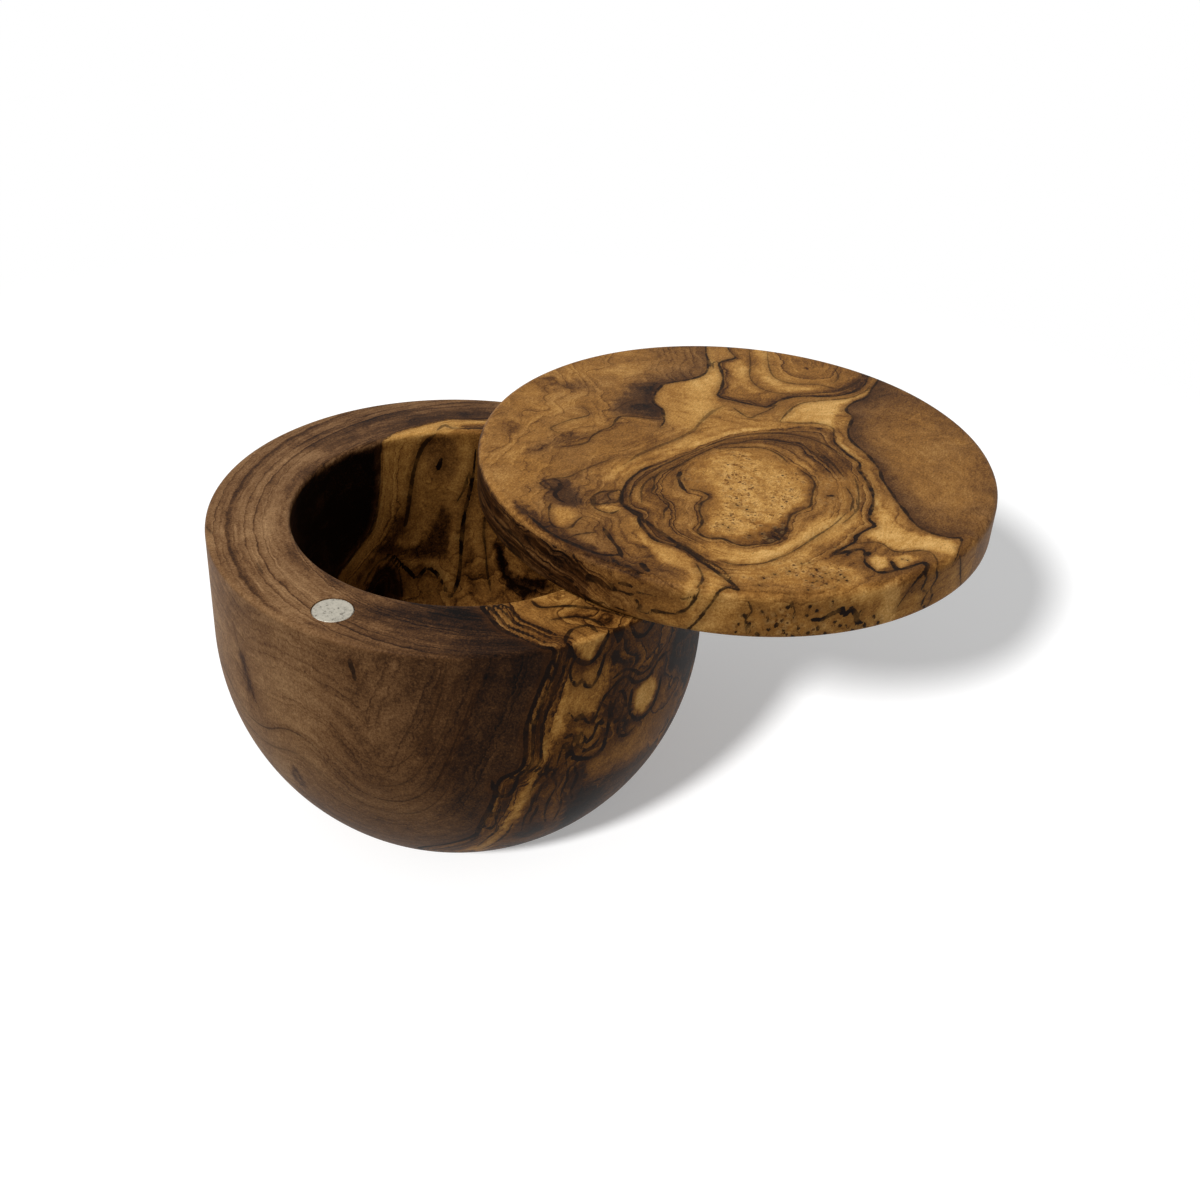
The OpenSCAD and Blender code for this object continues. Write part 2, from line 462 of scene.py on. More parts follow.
    rough = total(by(streak, 0.16), by(core, 0.05), 0.46)
    height = total(by(fine, 0.35), by(streak, 0.3), by(pore, -0.7), by(core, -0.25))
    bump = node(tree, "ShaderNodeBump", {"Height": height, "Strength": 0.25, "Distance": 0.00012})
    shader = node(tree, "ShaderNodeBsdfPrincipled",
                  {"Base Color": colour, "Roughness": rough, "Normal": bump.outputs[0],
                   "Specular IOR Level": 0.05})
    node(tree, "ShaderNodeOutputMaterial", {"Surface": shader.outputs[0]})
    return material


def wall(*numbers):
    """Points read on the outer wall, as angle and height, turned into angle and way down."""
    points = np.array(numbers, float).reshape(-1, 2)
    drop = RIM_Z - points[:, 1]
    bend = np.arcsin(np.clip((BELLY_TOP - points[:, 1]) / BELLY_R, 0, 1))
    return np.column_stack([points[:, 0], np.where(drop < STRAIGHT, drop, STRAIGHT + BELLY_R * bend)])


def rim(*numbers):
    """Points read on the rim, as x and y, turned into angle and way in from the outer edge."""
    points = np.array(numbers, float).reshape(-1, 2)
    angle = np.degrees(np.arctan2(points[:, 1], points[:, 0]))
    return np.column_stack([angle, np.hypot(points[:, 0], points[:, 1]) - BOWL_R])


def cavity(*numbers):
    """Points read on the cavity's wall, as angle and height, turned into angle and way in."""
    points = np.array(numbers, float).reshape(-1, 2)
    bend = np.arcsin(np.clip((ROUND_Z - points[:, 1]) / CAVITY_ROUND, 0, 1))
    drop = np.where(points[:, 1] > ROUND_Z, RIM_Z - points[:, 1], RIM_Z - ROUND_Z + CAVITY_ROUND * bend)
    return np.column_stack([points[:, 0], -RIM_WIDTH - drop])


# the bowl's section, from the foot's middle round to the cavity's; the last number of each
# stretch is how many points it gets
profile = straight((0, 0), (FOOT_R, 0), 6)
profile += arc((BOWL_R - BELLY_R, BELLY_TOP), BELLY_R, -BELLY_TURN, 0, 80)
profile += straight((BOWL_R, BELLY_TOP), (BOWL_R, RIM_Z - RIM_EASE), 48)
profile += arc((BOWL_R - RIM_EASE, RIM_Z - RIM_EASE), RIM_EASE, 0, math.pi / 2, 4)
profile += straight((BOWL_R - RIM_EASE, RIM_Z), (CAVITY_R + RIM_EASE, RIM_Z), 32)
profile += arc((CAVITY_R + RIM_EASE, RIM_Z - RIM_EASE), RIM_EASE, math.pi / 2, math.pi, 4)
profile += straight((CAVITY_R, RIM_Z - RIM_EASE), (CAVITY_R, ROUND_Z), 42)
profile += arc((ROUND_R, ROUND_Z), CAVITY_ROUND, 0, -math.pi / 2, 14)
profile += straight((ROUND_R, FLOOR_Z), (0, FLOOR_Z), 6) + [(0, FLOOR_Z)]
template = bpy.data.meshes.new("bowl_template")
template.from_pydata([((r - AXLE) * MM, -z * MM, 0) for r, z in profile],
                     [(i, i + 1) for i in range(len(profile) - 1)], [])
bowl_wood = olive_wood("bowl_olive_wood", fibre_turn=(0, 0, 0), fibre=(1.5, 1.5, 1.0))
bowl = made_by(bowl_tree(bowl_wood), "turned_bowl", template, Facets=FACETS, Axle=AXLE * MM,
               Weld=WELD * MM, Pin_radius=PIN_BORE_R * MM, Pin_depth=PIN_BORE_DEPTH * MM,
               Pin_mouth=mouth("pivot_pin", RIM_Z), Pocket_radius=POCKET_R * MM,
               Pocket_depth=POCKET_DEPTH * MM, Pocket_mouth=mouth("rim_magnet", RIM_Z))

# Every point of the bowl gets an angle and a way along its section: 0 at the rim's outer edge,
# on down the wall to the foot, and back below 0 across the rim, down the cavity to its floor.
x, y, z = points_of(bowl).T
radius = np.hypot(x, y)
from_belly = np.abs(np.hypot(radius - BOWL_R + BELLY_R, z - BELLY_TOP) - BELLY_R)
from_round = np.abs(np.hypot(radius - ROUND_R, z - ROUND_Z) - CAVITY_ROUND)
down_belly = BELLY_R * np.arcsin(np.clip((BELLY_TOP - z) / BELLY_R, 0, 1))
down_round = CAVITY_ROUND * np.arcsin(np.clip((ROUND_Z - z) / CAVITY_ROUND, 0, 1))
to_round = ROUND_Z - RIM_Z - RIM_WIDTH
way = np.select(
    [(z < 0.01) & (radius < FOOT_R), (z < BELLY_TOP) & (from_belly < ON_ARC),
     (z < ROUND_Z) & (from_round < ON_ARC) & (radius > ROUND_R), z < ROUND_Z,
     radius > CAVITY_R + RIM_WIDTH / 2],
    [WALL_END + FOOT_R - radius, STRAIGHT + down_belly, to_round - down_round,
     to_round - CAVITY_ROUND * math.pi / 2 + radius - ROUND_R, (RIM_Z - z) - (BOWL_R - radius)],
    -RIM_WIDTH + (radius - CAVITY_R) - (RIM_Z - z))
angle = np.degrees(np.arctan2(y, x))
bowl_places, bowl_stretch = np.column_stack([angle, way]), radius * DEGREE
bowl_figure = Figure(bowl, bowl_places, bowl_stretch, FULL_TURN,
                     tone=0.66, heart=1.0, ring=0, lines=0.24, wild=0, burl=0)
patch, veins, kinds = bowl_figure.patch, bowl_figure.veins, bowl_figure.kinds
swoop = smooth_line(wall(-152, 46, -136, 42, -122, 44, -115, 42, -108, 35, -100, 33, -92, 37, -88, 45,
    -84, 55, -80, 66, -79, 72))
kinds["ring"] = np.where(way > 0, off_line(swoop, bowl_places, bowl_stretch, FULL_TURN)[0] / 2.4,
                         np.hypot(x - 10 - 0.4 * (z - RIM_Z), y) * 0.85)
kinds["lines"][(way < 0) & (way > -RIM_WIDTH)] = 0.55
kinds["lines"] *= np.clip((np.abs(way) - 0.4) / 1.4, 0, 1)

# heartwood: tones along the rim and the wall; the cavity's near-black side is partly dark heartwood, partly
# painted shade
patch(0.5, 0.02, cavity(112, 69.6, 128, 69.6, 150, 69.6, 200, 69.6, 260, 69.6, 280, 60, 285, 14, 200, 10,
    120, 12, 127, 40))
patch(6, 0.58, wall(-112, 75, -108, 50, -114, 30, -130, 18, -140, 8, -100, 2, -70, 10, -60, 75))
patch(1.6, 0.74, rim(-42, 6, -42, -12, -39, -22, -34, -31, -31, -35, -33, -30, -37, -22, -39, -10, -39, 8,
    -37, 22, -39, 22))
patch(2, 0.42, rim(-36, 8, -36, -8, -32, -18, -26, -26, -27, -23, -33, -12, -34.5, 0, -33, 12))
patch(4.5, 0.28, rim(-38, 24, -34, 31, -28, 37, -18, 42, -8, 45, 4, 47, 14, 46, 8, 40, -6, 38, -16, 34,
    -26, 29, -32, 24))
patch(1.5, 0.5, rim(-36, 24, -31, 31, -24, 36.5, -16, 40, -17, 37.5, -25, 31, -31, 22))
patch(4, 0.3, rim(-16, -36, -15, -41, -6, -44, 4, -47, 14, -51, 21, -47, 10, -38, 4, -33))
patch(2, 0.14, rim(2, -37, -2, -40, 6, -42, 14, -47, 19, -47.5, 12, -42, 8, -37))
patch(5, 0.38, wall(-96, 75, -95, 60, -92, 45, -88, 30, -90, 18, -96, 8, -80, 12, -72, 35, -66, 55,
    -62, 75))
patch(3, 0.22, wall(-84, 75, -83, 60, -86, 45, -82, 30, -84, 20, -88, 10, -78, 14, -70, 35, -66, 55,
    -62, 75), lines=0.3)

# golden wood: one wedge through the right side of rim, wall and cavity
left_edge = np.vstack([wall(-97, 0, -96, 8, -95, 13, -86, 18, -80, 22, -79, 27, -77, 33, -76, 38, -75, 41,
    -71, 43, -70, 47, -70, 53, -68, 60, -66, 65, -64.5, 70), rim(20, -47, 16, -44.5, 12, -42, 9.5, -38,
    8, -35.5), cavity(-77, 69, -84, 55, -92, 40, -100, 28, -105, 18)])
right_edge = np.vstack([cavity(160, 20, 150, 40, 145, 42, 136, 46, 131, 50, 128, 60, 127, 70), rim(-20, 30,
    -18.5, 32.5, -13, 37, -8, 40.5, 0, 41.6, 8, 43.5, 16, 46, 22, 47), wall(65, 69, 68, 60, 72, 50, 76, 40,
    82, 30, 92, 20, 105, 10, 107, 0)])
core_end, foot_end = -200.0, 130.0
golden = np.vstack([left_edge, [(-105, core_end), (160, core_end)], right_edge,
                    [(107, foot_end), (-97, foot_end)], left_edge[:1]])
edge_gap = np.minimum(*(off_line(smooth_line(edge), bowl_places, bowl_stretch, FULL_TURN)[0]
                        for edge in (left_edge, right_edge)))
in_gold = inside(golden, bowl_places, bowl_stretch, FULL_TURN) > 0
gold_gap = edge_gap[in_gold]
kinds["heart"][in_gold] = 0.12
kinds["lines"][in_gold] = 0.9 + 1.5 * np.clip(1.3 - gold_gap / 4.5, 0, 1)
kinds["ring"][in_gold] = 7 * (1 - np.exp(-gold_gap / 6.5))
kinds["wild"][in_gold] = np.clip(gold_gap / 9 - 0.35, 0, 1)
# the wedge's tone is darkest on the wall: partly its darker wood, partly painted shade on the bowl's right
# side, away from the key lamp. In the cavity it is a little darker than on the rim, partly painted shade in
# the hollow
kinds["tone"][in_gold] = 0.24
in_cavity = in_gold & (way < -RIM_WIDTH)
kinds["lines"][in_cavity] = 0.45
kinds["tone"][in_cavity] = 0.44
kinds["tone"][in_gold & (np.abs(way + RIM_WIDTH / 2) < RIM_WIDTH / 2)] = 0.52
patch(1.0, 0.78, rim(-21, 28, -14, 36, -8, 39, -4, 36, -12, 31), lines=0.1)
patch(8, 0.5, wall(6, 75, 2, 40, 6, 0, 60, 0, 56, 40, 50, 75))
veins(0.6, 1.0, left_edge[:17], left_edge[16:22], shade=(1, 4, 0.5))
veins(0.35, 0.6, right_edge[5:14])
veins(0.5, 0.9, right_edge[:6], right_edge[14:])

# golden wood: its patches and veins on the wall
patch(0.7, 0.78, wall(-60.5, 71, -58.5, 67, -56, 66, -53.5, 69, -52, 71), lines=0.1)
patch(1.2, 0.68, wall(-61, 64, -63, 57, -66, 48, -68.5, 41, -71, 34, -74, 26, -78, 18, -81, 12, -76, 11,
    -73, 20, -69.5, 30, -67.5, 38, -64.5, 46, -61, 52, -60.5, 58, -59.5, 63), lines=0.25)
patch(1.2, 0.52, wall(-60, 62, -61, 55, -57, 52, -52, 55, -50, 60, -52, 64, -57, 63), lines=0.3)
patch(1.0, 0.5, wall(-58, 50, -55, 49, -52, 52, -53, 46, -57, 44, -59, 47), lines=0.3)
patch(2.5, 0.4, wall(-56, 41, -47, 43, -38, 43.5, -28, 42, -26, 37, -34, 34, -46, 33, -55, 35), heart=0.4,
    lines=0.12)
patch(1.2, 0.08, wall(-58, 41, -55.5, 40, -55, 35, -57, 30, -59, 35), heart=0.5)
patch(2.5, 0.16, wall(-57.5, 33, -50, 31, -40, 33, -28, 30, -34, 20, -45, 10, -56, 14, -58, 24), heart=0.7,
    lines=0.2)
patch(1.5, 0.0, wall(-57, 31, -53, 32, -48, 29, -46, 25, -50, 20, -51, 14, -55, 16, -57, 24), heart=0.9,
    lines=0.0)
patch(2.5, 0.16, wall(-69, 20, -66, 24, -60, 22, -58, 14, -64, 9, -70, 10, -72, 15), heart=0.5)
patch(0.9, 0.74, wall(-42.5, 53.5, -43, 49, -40.5, 46.5, -37, 48, -35.5, 52, -37.5, 54), lines=0.1)
patch(2, 0.18, wall(-50, 56, -49, 44, -44, 42, -45, 50, -44, 56, -47, 58), heart=0.4)
patch(2.5, 0.18, wall(-32, 58, -31, 50, -24, 46, -16, 44, -14, 56, -24, 64), heart=0.5)
veins(0.78, 1.0, wall(-61.5, 71, -60, 67.5, -58, 65.5, -56, 65, -54, 66.5, -52.7, 69, -51.5, 71),
    wall(-50.5, 71, -49.6, 69, -49, 67.5, -48.3, 69.5, -48, 71), wall(-60, 45, -58.7, 43, -56.5, 41.7,
    -53.5, 41.2, -51.3, 42.5, -50.6, 46, -50, 50, -50.2, 54), wall(-44, 54, -44.4, 50, -43.2, 47, -41, 45.3,
    -38.5, 45.3, -36, 46.8, -34.3, 50, -34, 53), wall(-46, 70, -44, 67, -41.5, 66, -39.5, 67, -37, 69),
    wall(-77, 41, -76.4, 38.5, -75.2, 36.3, -73.3, 36, -72, 38, -71.3, 41.5))
veins(0.48, 0.97, wall(-60.8, 66, -60.5, 62.5, -59, 60.5, -57.8, 61.5, -56.8, 59.8, -55.2, 59.3, -54, 61,
    -53, 64, -52, 67), wall(-60.5, 54.5, -58.6, 52, -57.4, 53, -56, 50.8, -54.4, 50.6, -53.2, 53,
    -51.8, 55.5, -50.4, 56.5), wall(-61.3, 48.5, -59.5, 48.8, -58.2, 46.8, -57.2, 48.6, -55.8, 46,
    -54.3, 46.8, -53.2, 49.6, -52, 49, -51.4, 52), wall(-62, 46, -60.4, 47, -59.4, 44.8, -57.5, 45.8,
    -56.2, 43.8, -54, 44, -52.3, 46), wall(-50.5, 56.5, -48, 58, -45.5, 57.8, -43.6, 55.6, -41.3, 55,
    -39, 54.8, -37, 56, -35, 57.5, -31, 57.5), wall(-50, 59, -47, 60, -44, 58.8, -42, 57, -39, 56.8,
    -36.5, 58.5, -33, 60), wall(-48.6, 54, -49.4, 51, -48.4, 48, -46.8, 49, -46, 52, -46.6, 54.6,
    -48, 55.4), wall(-47.6, 46.5, -47, 44, -44.5, 43, -42, 43.8), wall(-58.5, 41, -57.2, 37, -57.8, 33,
    -56.6, 29))
veins(0.32, 0.94, wall(-61.5, 47, -62.5, 43, -63, 39, -62, 36, -63, 33, -63.5, 29, -62.8, 25, -61.5, 22),
    wall(-64, 45, -65, 41, -64.4, 39, -65.8, 37, -66.4, 33, -65.8, 30, -66.4, 26, -66, 21), wall(-67.5, 43,
    -66, 41.5, -67, 39, -68, 36, -67.4, 31, -68.4, 27, -68, 21), wall(-68, 42.3, -66, 40.3, -64.2, 41.5,
    -63, 40.3, -62, 41.5), wall(-60.6, 46, -60.2, 41, -59.6, 37, -60.4, 33, -59.4, 28, -59.8, 22),
    wall(-76, 35, -77.2, 30, -78, 26.5, -76.4, 24.4, -75.4, 27, -76, 31), wall(-74.6, 33, -75.4, 28,
    -74.6, 24, -77, 19.5, -79, 15), wall(-80, 25, -79, 22, -80.4, 19.5, -83.5, 16.5), wall(-71, 26, -72, 21,
    -74.4, 16, -77, 12))
for gap in (1.7, 3.4, 5.0):
    veins(0.36, 0.95, rim(8 + 0.6 * gap, -35.2 + 0.3 * gap, 9.5 + 0.7 * gap, -38 + 0.6 * gap,
        12 + 0.65 * gap, -42 + 0.75 * gap, 16 + 0.5 * gap, -44.5 + 0.85 * gap,
        20 + 0.5 * gap, -47 + 0.85 * gap))
for turn in (1.8, 3.7):
    veins(0.34, 0.95, wall(turn - 65, 70, turn - 66, 65, turn - 68, 60, turn - 70, 53, turn - 70, 47,
        turn - 71, 43, turn - 75, 40.5))
veins(0.5, 0.9, rim(17, -32, 19, -34, 24, -33, 30, -33.5, 37, -36), rim(21, -38, 25, -36.5, 29, -37,
    32, -40), rim(24, -45, 25, -41, 28, -39, 30, -41))

# golden wood: its patches and veins on the cavity's wall and on the rim's inner edge
patch(1.6, 0.6, cavity(113, 69, 117, 62, 119.6, 54, 124, 50, 130, 45, 138, 41, 146, 41, 140, 44, 133, 48,
    130, 53, 127.4, 62, 125.6, 69))
patch(1.4, 0.58, cavity(97, 46, 99.4, 47, 100, 40, 100.6, 35.6, 106, 35.4, 114, 36.4, 119, 38, 116, 35,
    110, 35.4, 104, 31, 101, 27.6, 98.4, 32))
patch(1.4, 0.54, cavity(93, 68, 96.6, 68, 98, 58, 101, 55.4, 97.6, 50, 94.6, 56))
patch(1.4, 0.56, cavity(88, 50, 93.6, 50, 93, 44, 91, 38, 88.4, 40))
patch(1.0, 0.3, cavity(100, 69, 97.4, 66, 98, 61, 101, 57.4, 105, 57, 108, 60, 110.4, 65, 109, 69),
    heart=0.3)
patch(0.9, 0.14, cavity(116.4, 54, 118, 50.4, 121, 50, 124, 46, 128, 43.6, 132, 41, 140, 36, 137, 36.6,
    131, 40.4, 127, 41.2, 124, 39.4, 119, 39, 112, 37.6, 103, 37, 101, 42, 101.6, 49, 104, 50.4, 107.4, 46,
    110, 42.4, 114, 41, 120, 41.4, 122, 43, 118.6, 46), heart=0.3, lines=0.2)
patch(0.8, 0.04, cavity(121.6, 26, 121.6, 33, 124.4, 37, 128.6, 37.4, 133, 35, 136, 32, 131, 28), heart=0.6)
patch(0.9, 0.0, cavity(81.6, 43, 83, 40, 81.6, 35, 78, 30.4, 73, 28.4, 66, 30, 58, 33.4, 66, 33.2, 73, 32.4,
    77.4, 35, 79.6, 39), heart=0.6)
patch(1.0, 0.24, cavity(92.6, 40, 94, 33, 93, 27, 91, 28, 91.4, 35))
veins(0.62, 1.0, cavity(91, 66, 91.8, 60, 93.4, 54, 95, 49, 96, 43, 96.6, 36, 97.2, 31, 99, 27.4,
    100.8, 26.2, 102.6, 28, 105, 31.4, 107.6, 33.4, 110, 34.2, 112, 32.8, 114, 31.6, 116.4, 33.6, 119.4, 36,
    122.4, 38.8, 126, 40.4))
veins(0.75, 0.85, cavity(106, 70, 110.6, 67.4, 114, 62, 115.8, 56, 117.2, 50, 118.4, 46.6))
veins(0.32, 0.8, cavity(93.4, 60, 95.4, 55.4, 98, 52), cavity(87, 50, 87.6, 44, 86.6, 38, 86, 33, 84, 27),
    cavity(120.4, 27, 120.6, 33, 123.4, 37.6, 128, 39.2, 132.6, 37.4, 137, 34), cavity(126, 29, 125.4, 33,
    127.6, 35, 131, 33.4))
veins(0.85, 1.0, cavity(103.8, 63.6, 104.6, 62, 105.2, 60.8))
veins(0.7, 0.95, cavity(109, 27.6, 109.6, 26.6))
veins(0.45, 0.6, rim(-9.5, 34.5, -8, 37.5, -6, 36.3, 0, 37.2, 5, 37.8))

# heartwood: small knots, the faint wide loops of its rings, and stained lines
veins(0.8, 0.85, wall(-106.6, 67, -106, 65, -105.5, 62.6))
patch(1.6, 0.34, wall(-139.5, 55, -137.5, 55, -135.5, 48, -137.5, 47))
patch(0.7, 0.26, wall(-126.6, 30, -124.6, 33.4, -122.6, 31, -123, 28, -124.6, 26.8, -126.2, 28))
patch(0.5, 0.56, wall(-125.3, 30, -124.6, 31.4, -124, 30, -124.6, 28.4))
veins(0.22, 0.62, wall(-158, 43, -150, 44, -140, 40, -132, 40.5, -126, 43.5, -122, 44.5, -117, 43.5,
    -112, 39, -107, 35, -101, 33.4, -95, 34.6, -90, 39, -87, 45, -84.4, 52, -82, 59, -80.4, 66),
    wall(-141.4, 60, -139.6, 56.4, -138, 53, -136.4, 49.6, -135, 47, -132.6, 44.4))
veins(0.18, 0.45, wall(-116, 47, -112, 43, -107, 39.4, -101, 37.8, -95.6, 39.6, -91.8, 44, -88.6, 50,
    -86, 57, -84.4, 66), wall(-112, 51, -108, 46, -103, 43.4, -98, 43.6, -94, 47, -91, 52, -88.6, 59,
    -87, 67), wall(-150, 37, -140, 35.4, -131, 36, -122, 38.6, -114, 35, -107, 31, -100, 29.4, -93, 31,
    -88, 36, -84.6, 43), wall(-86.4, 70, -87.6, 62, -90, 55, -93, 50.4))
veins(0.3, 0.5, rim(-50, -13, -48, -15.5), rim(-37, -25, -36, -27, -35, -29))
bowl_figure.store()
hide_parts("bowl")
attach(bowl, "bowl")

# The lid: a flat disc of the same wood, turned with a rounded upper edge and an eased lower one.
# A speckled burl eye lies in its middle, with dark growth rings round it, a second knot at its
# back and plain brown wood to its right. It is bored from below for the pin and for a magnet.
LID_LOW, LID_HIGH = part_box("lid")
LID_R = (LID_HIGH.x - LID_LOW.x) / 2 / MM
LID_T = (LID_HIGH.z - LID_LOW.z) / MM
LID_X, LID_Y = (LID_LOW.x + LID_HIGH.x) / 2 / MM, (LID_LOW.y + LID_HIGH.y) / 2 / MM
LID_Z = LID_LOW.z / MM
TOP_EASE, BOTTOM_EASE = 1.5, 1.0
PIN_R, PIN_IN_LID = 2.5, 6.5
SQUARES, LAYERS = 205, 15


def lid_tree(material):
    """Presses a fine block of squares out into a disc with rounded edges, then bores it."""
    tree, given = tree_with("turned_lid", Squares="Int", Layers="Int", Radius="Float",
                            Thickness="Float", Top_ease="Float", Bottom_ease="Float",
                            Centre="Vector", Pin_radius="Float", Pin_depth="Float",
                            Pin_mouth="Vector", Pocket_radius="Float", Pocket_depth="Float",
                            Pocket_mouth="Vector")
    block = node(tree, "GeometryNodeMeshCube",
                 {"Size": (2, 2, 2), "Vertices X": given["Squares"], "Vertices Y": given["Squares"],
                  "Vertices Z": given["Layers"]})
    spot = node(tree, "ShaderNodeSeparateXYZ", {0: node(tree, "GeometryNodeInputPosition").outputs[0]})
    u, v, w = spot.outputs

    def round_off(a, b):
        half_square = times(tree, times(tree, b, b), 0.5)
        return times(tree, a, maths(tree, "SQRT", less(tree, 1.0, half_square)))

    def stage(low, high):
        return node(tree, "ShaderNodeMapRange", {"Value": w, "From Min": low, "From Max": high}).outputs[0]

    def short_of_full(ease, ratio, turn):
        return times(tree, ease, less(tree, 1.0, maths(tree, ratio, turn)))

    # the layers from the block's bottom at -1 make the lower round, those to its top at 1 the upper
    low_end, top_start = -0.6, 0.45
    lower = times(tree, stage(-1.0, low_end), math.pi / 2)
    upper = times(tree, stage(top_start, 1.0), math.pi / 2)
    e_low, e_top = given["Bottom_ease"], given["Top_ease"]
    radius = less(tree, given["Radius"], short_of_full(e_low, "SINE", lower))
    radius = less(tree, radius, short_of_full(e_top, "COSINE", upper))
    flat = less(tree, given["Thickness"], maths(tree, "ADD", e_low, e_top))
    height = short_of_full(e_low, "COSINE", lower)
    height = maths(tree, "ADD", height, times(tree, flat, stage(low_end, top_start)))
    height = maths(tree, "ADD", height, times(tree, e_top, maths(tree, "SINE", upper)))
    disc = node(tree, "ShaderNodeCombineXYZ", {0: times(tree, round_off(u, v), radius),
                                               1: times(tree, round_off(v, u), radius), 2: height})
    where = node(tree, "ShaderNodeVectorMath", {0: disc.outputs[0], 1: given["Centre"]}, operation="ADD")
    pressed = node(tree, "GeometryNodeSetPosition",
                   {"Geometry": block.outputs["Mesh"], "Position": where.outputs[0]})
    bored = drill(tree, pressed.outputs[0], given["Pin_radius"], given["Pin_depth"],
                  given["Pin_mouth"], way=-1.0)
    end_tree(tree, drill(tree, bored, given["Pocket_radius"], given["Pocket_depth"],
                         given["Pocket_mouth"], way=-1.0), material)
    return tree


def lid_side(*numbers):
    """Points read on the lid's edge, as angle and height, folded out flat beyond its rim."""
    points = np.array(numbers, float).reshape(-1, 2)
    out = LID_R + LID_T - points[:, 1]
    turns = np.radians(points[:, 0])
    return np.column_stack([out * np.cos(turns), out * np.sin(turns)])


lid_wood = olive_wood("lid_olive_wood", fibre_turn=(0, 0, 20 * DEGREE), fibre=(2.0, 0.35, 2.0))
lid = made_by(lid_tree(lid_wood), "turned_lid", bpy.data.meshes.new("lid_template"),
              Squares=SQUARES, Layers=LAYERS, Radius=LID_R * MM, Thickness=LID_T * MM,
              Top_ease=TOP_EASE * MM, Bottom_ease=BOTTOM_EASE * MM,
              Centre=(LID_X * MM, LID_Y * MM, LID_Z * MM), Pin_radius=PIN_R * MM,
              Pin_depth=PIN_IN_LID * MM, Pin_mouth=mouth("pivot_pin", LID_Z),
              Pocket_radius=POCKET_R * MM, Pocket_depth=POCKET_DEPTH * MM,
              Pocket_mouth=mouth("lid_magnet", LID_Z))

# Every point of the lid gets a place in millimetres from the lid's centre, with the figure
# flaring outwards as it goes down, so that veins run on over the edge and across the underside.
x, y, z = points_of(lid).T
flare = 1 + (LID_Z + LID_T - z) / LID_R
lid_places = np.column_stack([(x - LID_X) * flare, (y - LID_Y) * flare])
lid_figure = Figure(lid, lid_places, 1.0, None, tone=0.60, heart=0.25, ring=0, lines=0.3, wild=0.25,
                    burl=0)
patch, veins, kinds = lid_figure.patch, lid_figure.veins, lid_figure.kinds

BURL_EDGE = (-11, -9, -11.5, -14, -10.5, -17.5, -6.5, -19.5, -6.8, -21, -8.2, -23, -8.5, -26, -8, -29,
    -8.3, -31.5, -9, -33.5, -6.5, -36, -4, -36, -2, -37.5, 0, -38, 2.5, -37.2, 5, -36.5, 7.5, -34, 8.5, -31,
    9, -28, 10, -25, 12, -23, 14, -21, 15, -15, 15.7, -12, 15, -9, 13, -6, 10.5, -3, 9, 0, 6, 2.5, 2, 2,
    -4, 0, -8, -4)
RING_EDGE = (-24, -24, -24, -21, -23.5, -18, -22.5, -15, -21, -12, -19, -9.5, -16, -7, -12, -3, -8, 1,
    -3, 6, 3, 9.5, 10, 12, 16, 13.6, 20, 13, 21.5, 10, 21.5, 8, 22.5, 5, 24, 2, 26, -1.5, 25.5, -4,
    26.2, -7, 27, -11, 27.3, -14, 27, -18, 26, -22, 25.5, -25, 26.3, -27, 25, -28.5, 23.5, -30, 22, -32,
    21.5, -34, 17, -39, 10, -45, 2, -48, -5, -48.5, -8, -46, -10, -44, -12, -41, -14, -39.5, -16.5, -38.5,
    -18, -37, -19.5, -34, -20.5, -31, -20, -29, -21, -28, -23, -26.5)
KNOT_EDGE = (0, 62, 0, 53, 1.5, 48, -1, 46, -2.5, 44, -2.2, 41, -1.8, 37, -2, 33, -2.8, 29, -3.3, 27,
    -2, 25.5, 0, 24.8, 2, 24, 5, 23, 7.5, 22.5, 9, 24, 11, 26.5, 14, 28.5, 18, 29.5, 22, 30, 25, 31, 29, 34,
    31.5, 38, 33, 43, 36, 50, 30, 64, 12, 68)
KNOT_HEART = (15, 58, 17, 50, 19, 43, 22, 45, 24, 58)
BROWN_EDGE = (26, 25, 25.8, 22.5, 26.8, 20.5, 26, 17, 25, 13, 25.2, 9, 26.5, 6, 28, 3, 29, 0, 30, -4,
    30, -7, 30.5, -10, 31.5, -14, 32, -17, 33, -20, 34, -24, 35.5, -27, 38, -29, 41, -30)
PALE_EDGE = (10, 15.5, 12, 20, 15, 25, 20, 27.5, 27, 30, 31, 34, 32.5, 37)
in_burl, in_rings, in_knot = (inside(smooth_line(edge, True), lid_places, 1.0)
                              for edge in (BURL_EDGE, RING_EDGE, KNOT_EDGE))
to_heart = off_line(smooth_line(KNOT_HEART), lid_places, 1.0)[0]
burl_ring = np.where(in_burl > 0, -in_burl / 3, np.where(
    in_rings > 0, 7 * -in_burl / (in_rings - in_burl + 1e-6), 7 - in_rings / 2.5))
kinds["ring"] = np.where(in_knot > 0, -20 - 6 * in_knot / (in_knot + to_heart + 1e-6),
                         np.minimum(burl_ring, 4 - in_knot / 2.5))

# patches of plain, pale and smoky wood
patch(2.5, 0.64, (-5, 64, -5, 42, -10, 33, -17, 27, -17, 19, -25, 13, -31, 2, -40, -5, -44, -8, -66, -10,
    -70, 10, -50, 52), heart=0.3, lines=0.36, wild=1)
patch(3.5, 0.54, (-6, 55, -6, 42, -11, 33, -17, 28, -22, 32, -18, 44, -14, 56), heart=0.5)
patch(2.5, 0.42, (-27, 20, -23, 29, -17, 30, -17, 18, -16, 13, -20, 13, -26, 14), heart=0.75)
patch(1.5, 0.3, (-24, 18, -20, 20, -16.5, 19, -15.5, 14, -18, 12.5, -23, 13.5), heart=0.8)
patch(2.5, 0.44, (-40, 26, -36, 30, -33, 29, -33, 26, -37, 25), heart=0.5)
patch(2.5, 0.4, (-43, -2, -38, 2, -33, 3, -30, 0, -34, -5, -43, -7), heart=0.55)
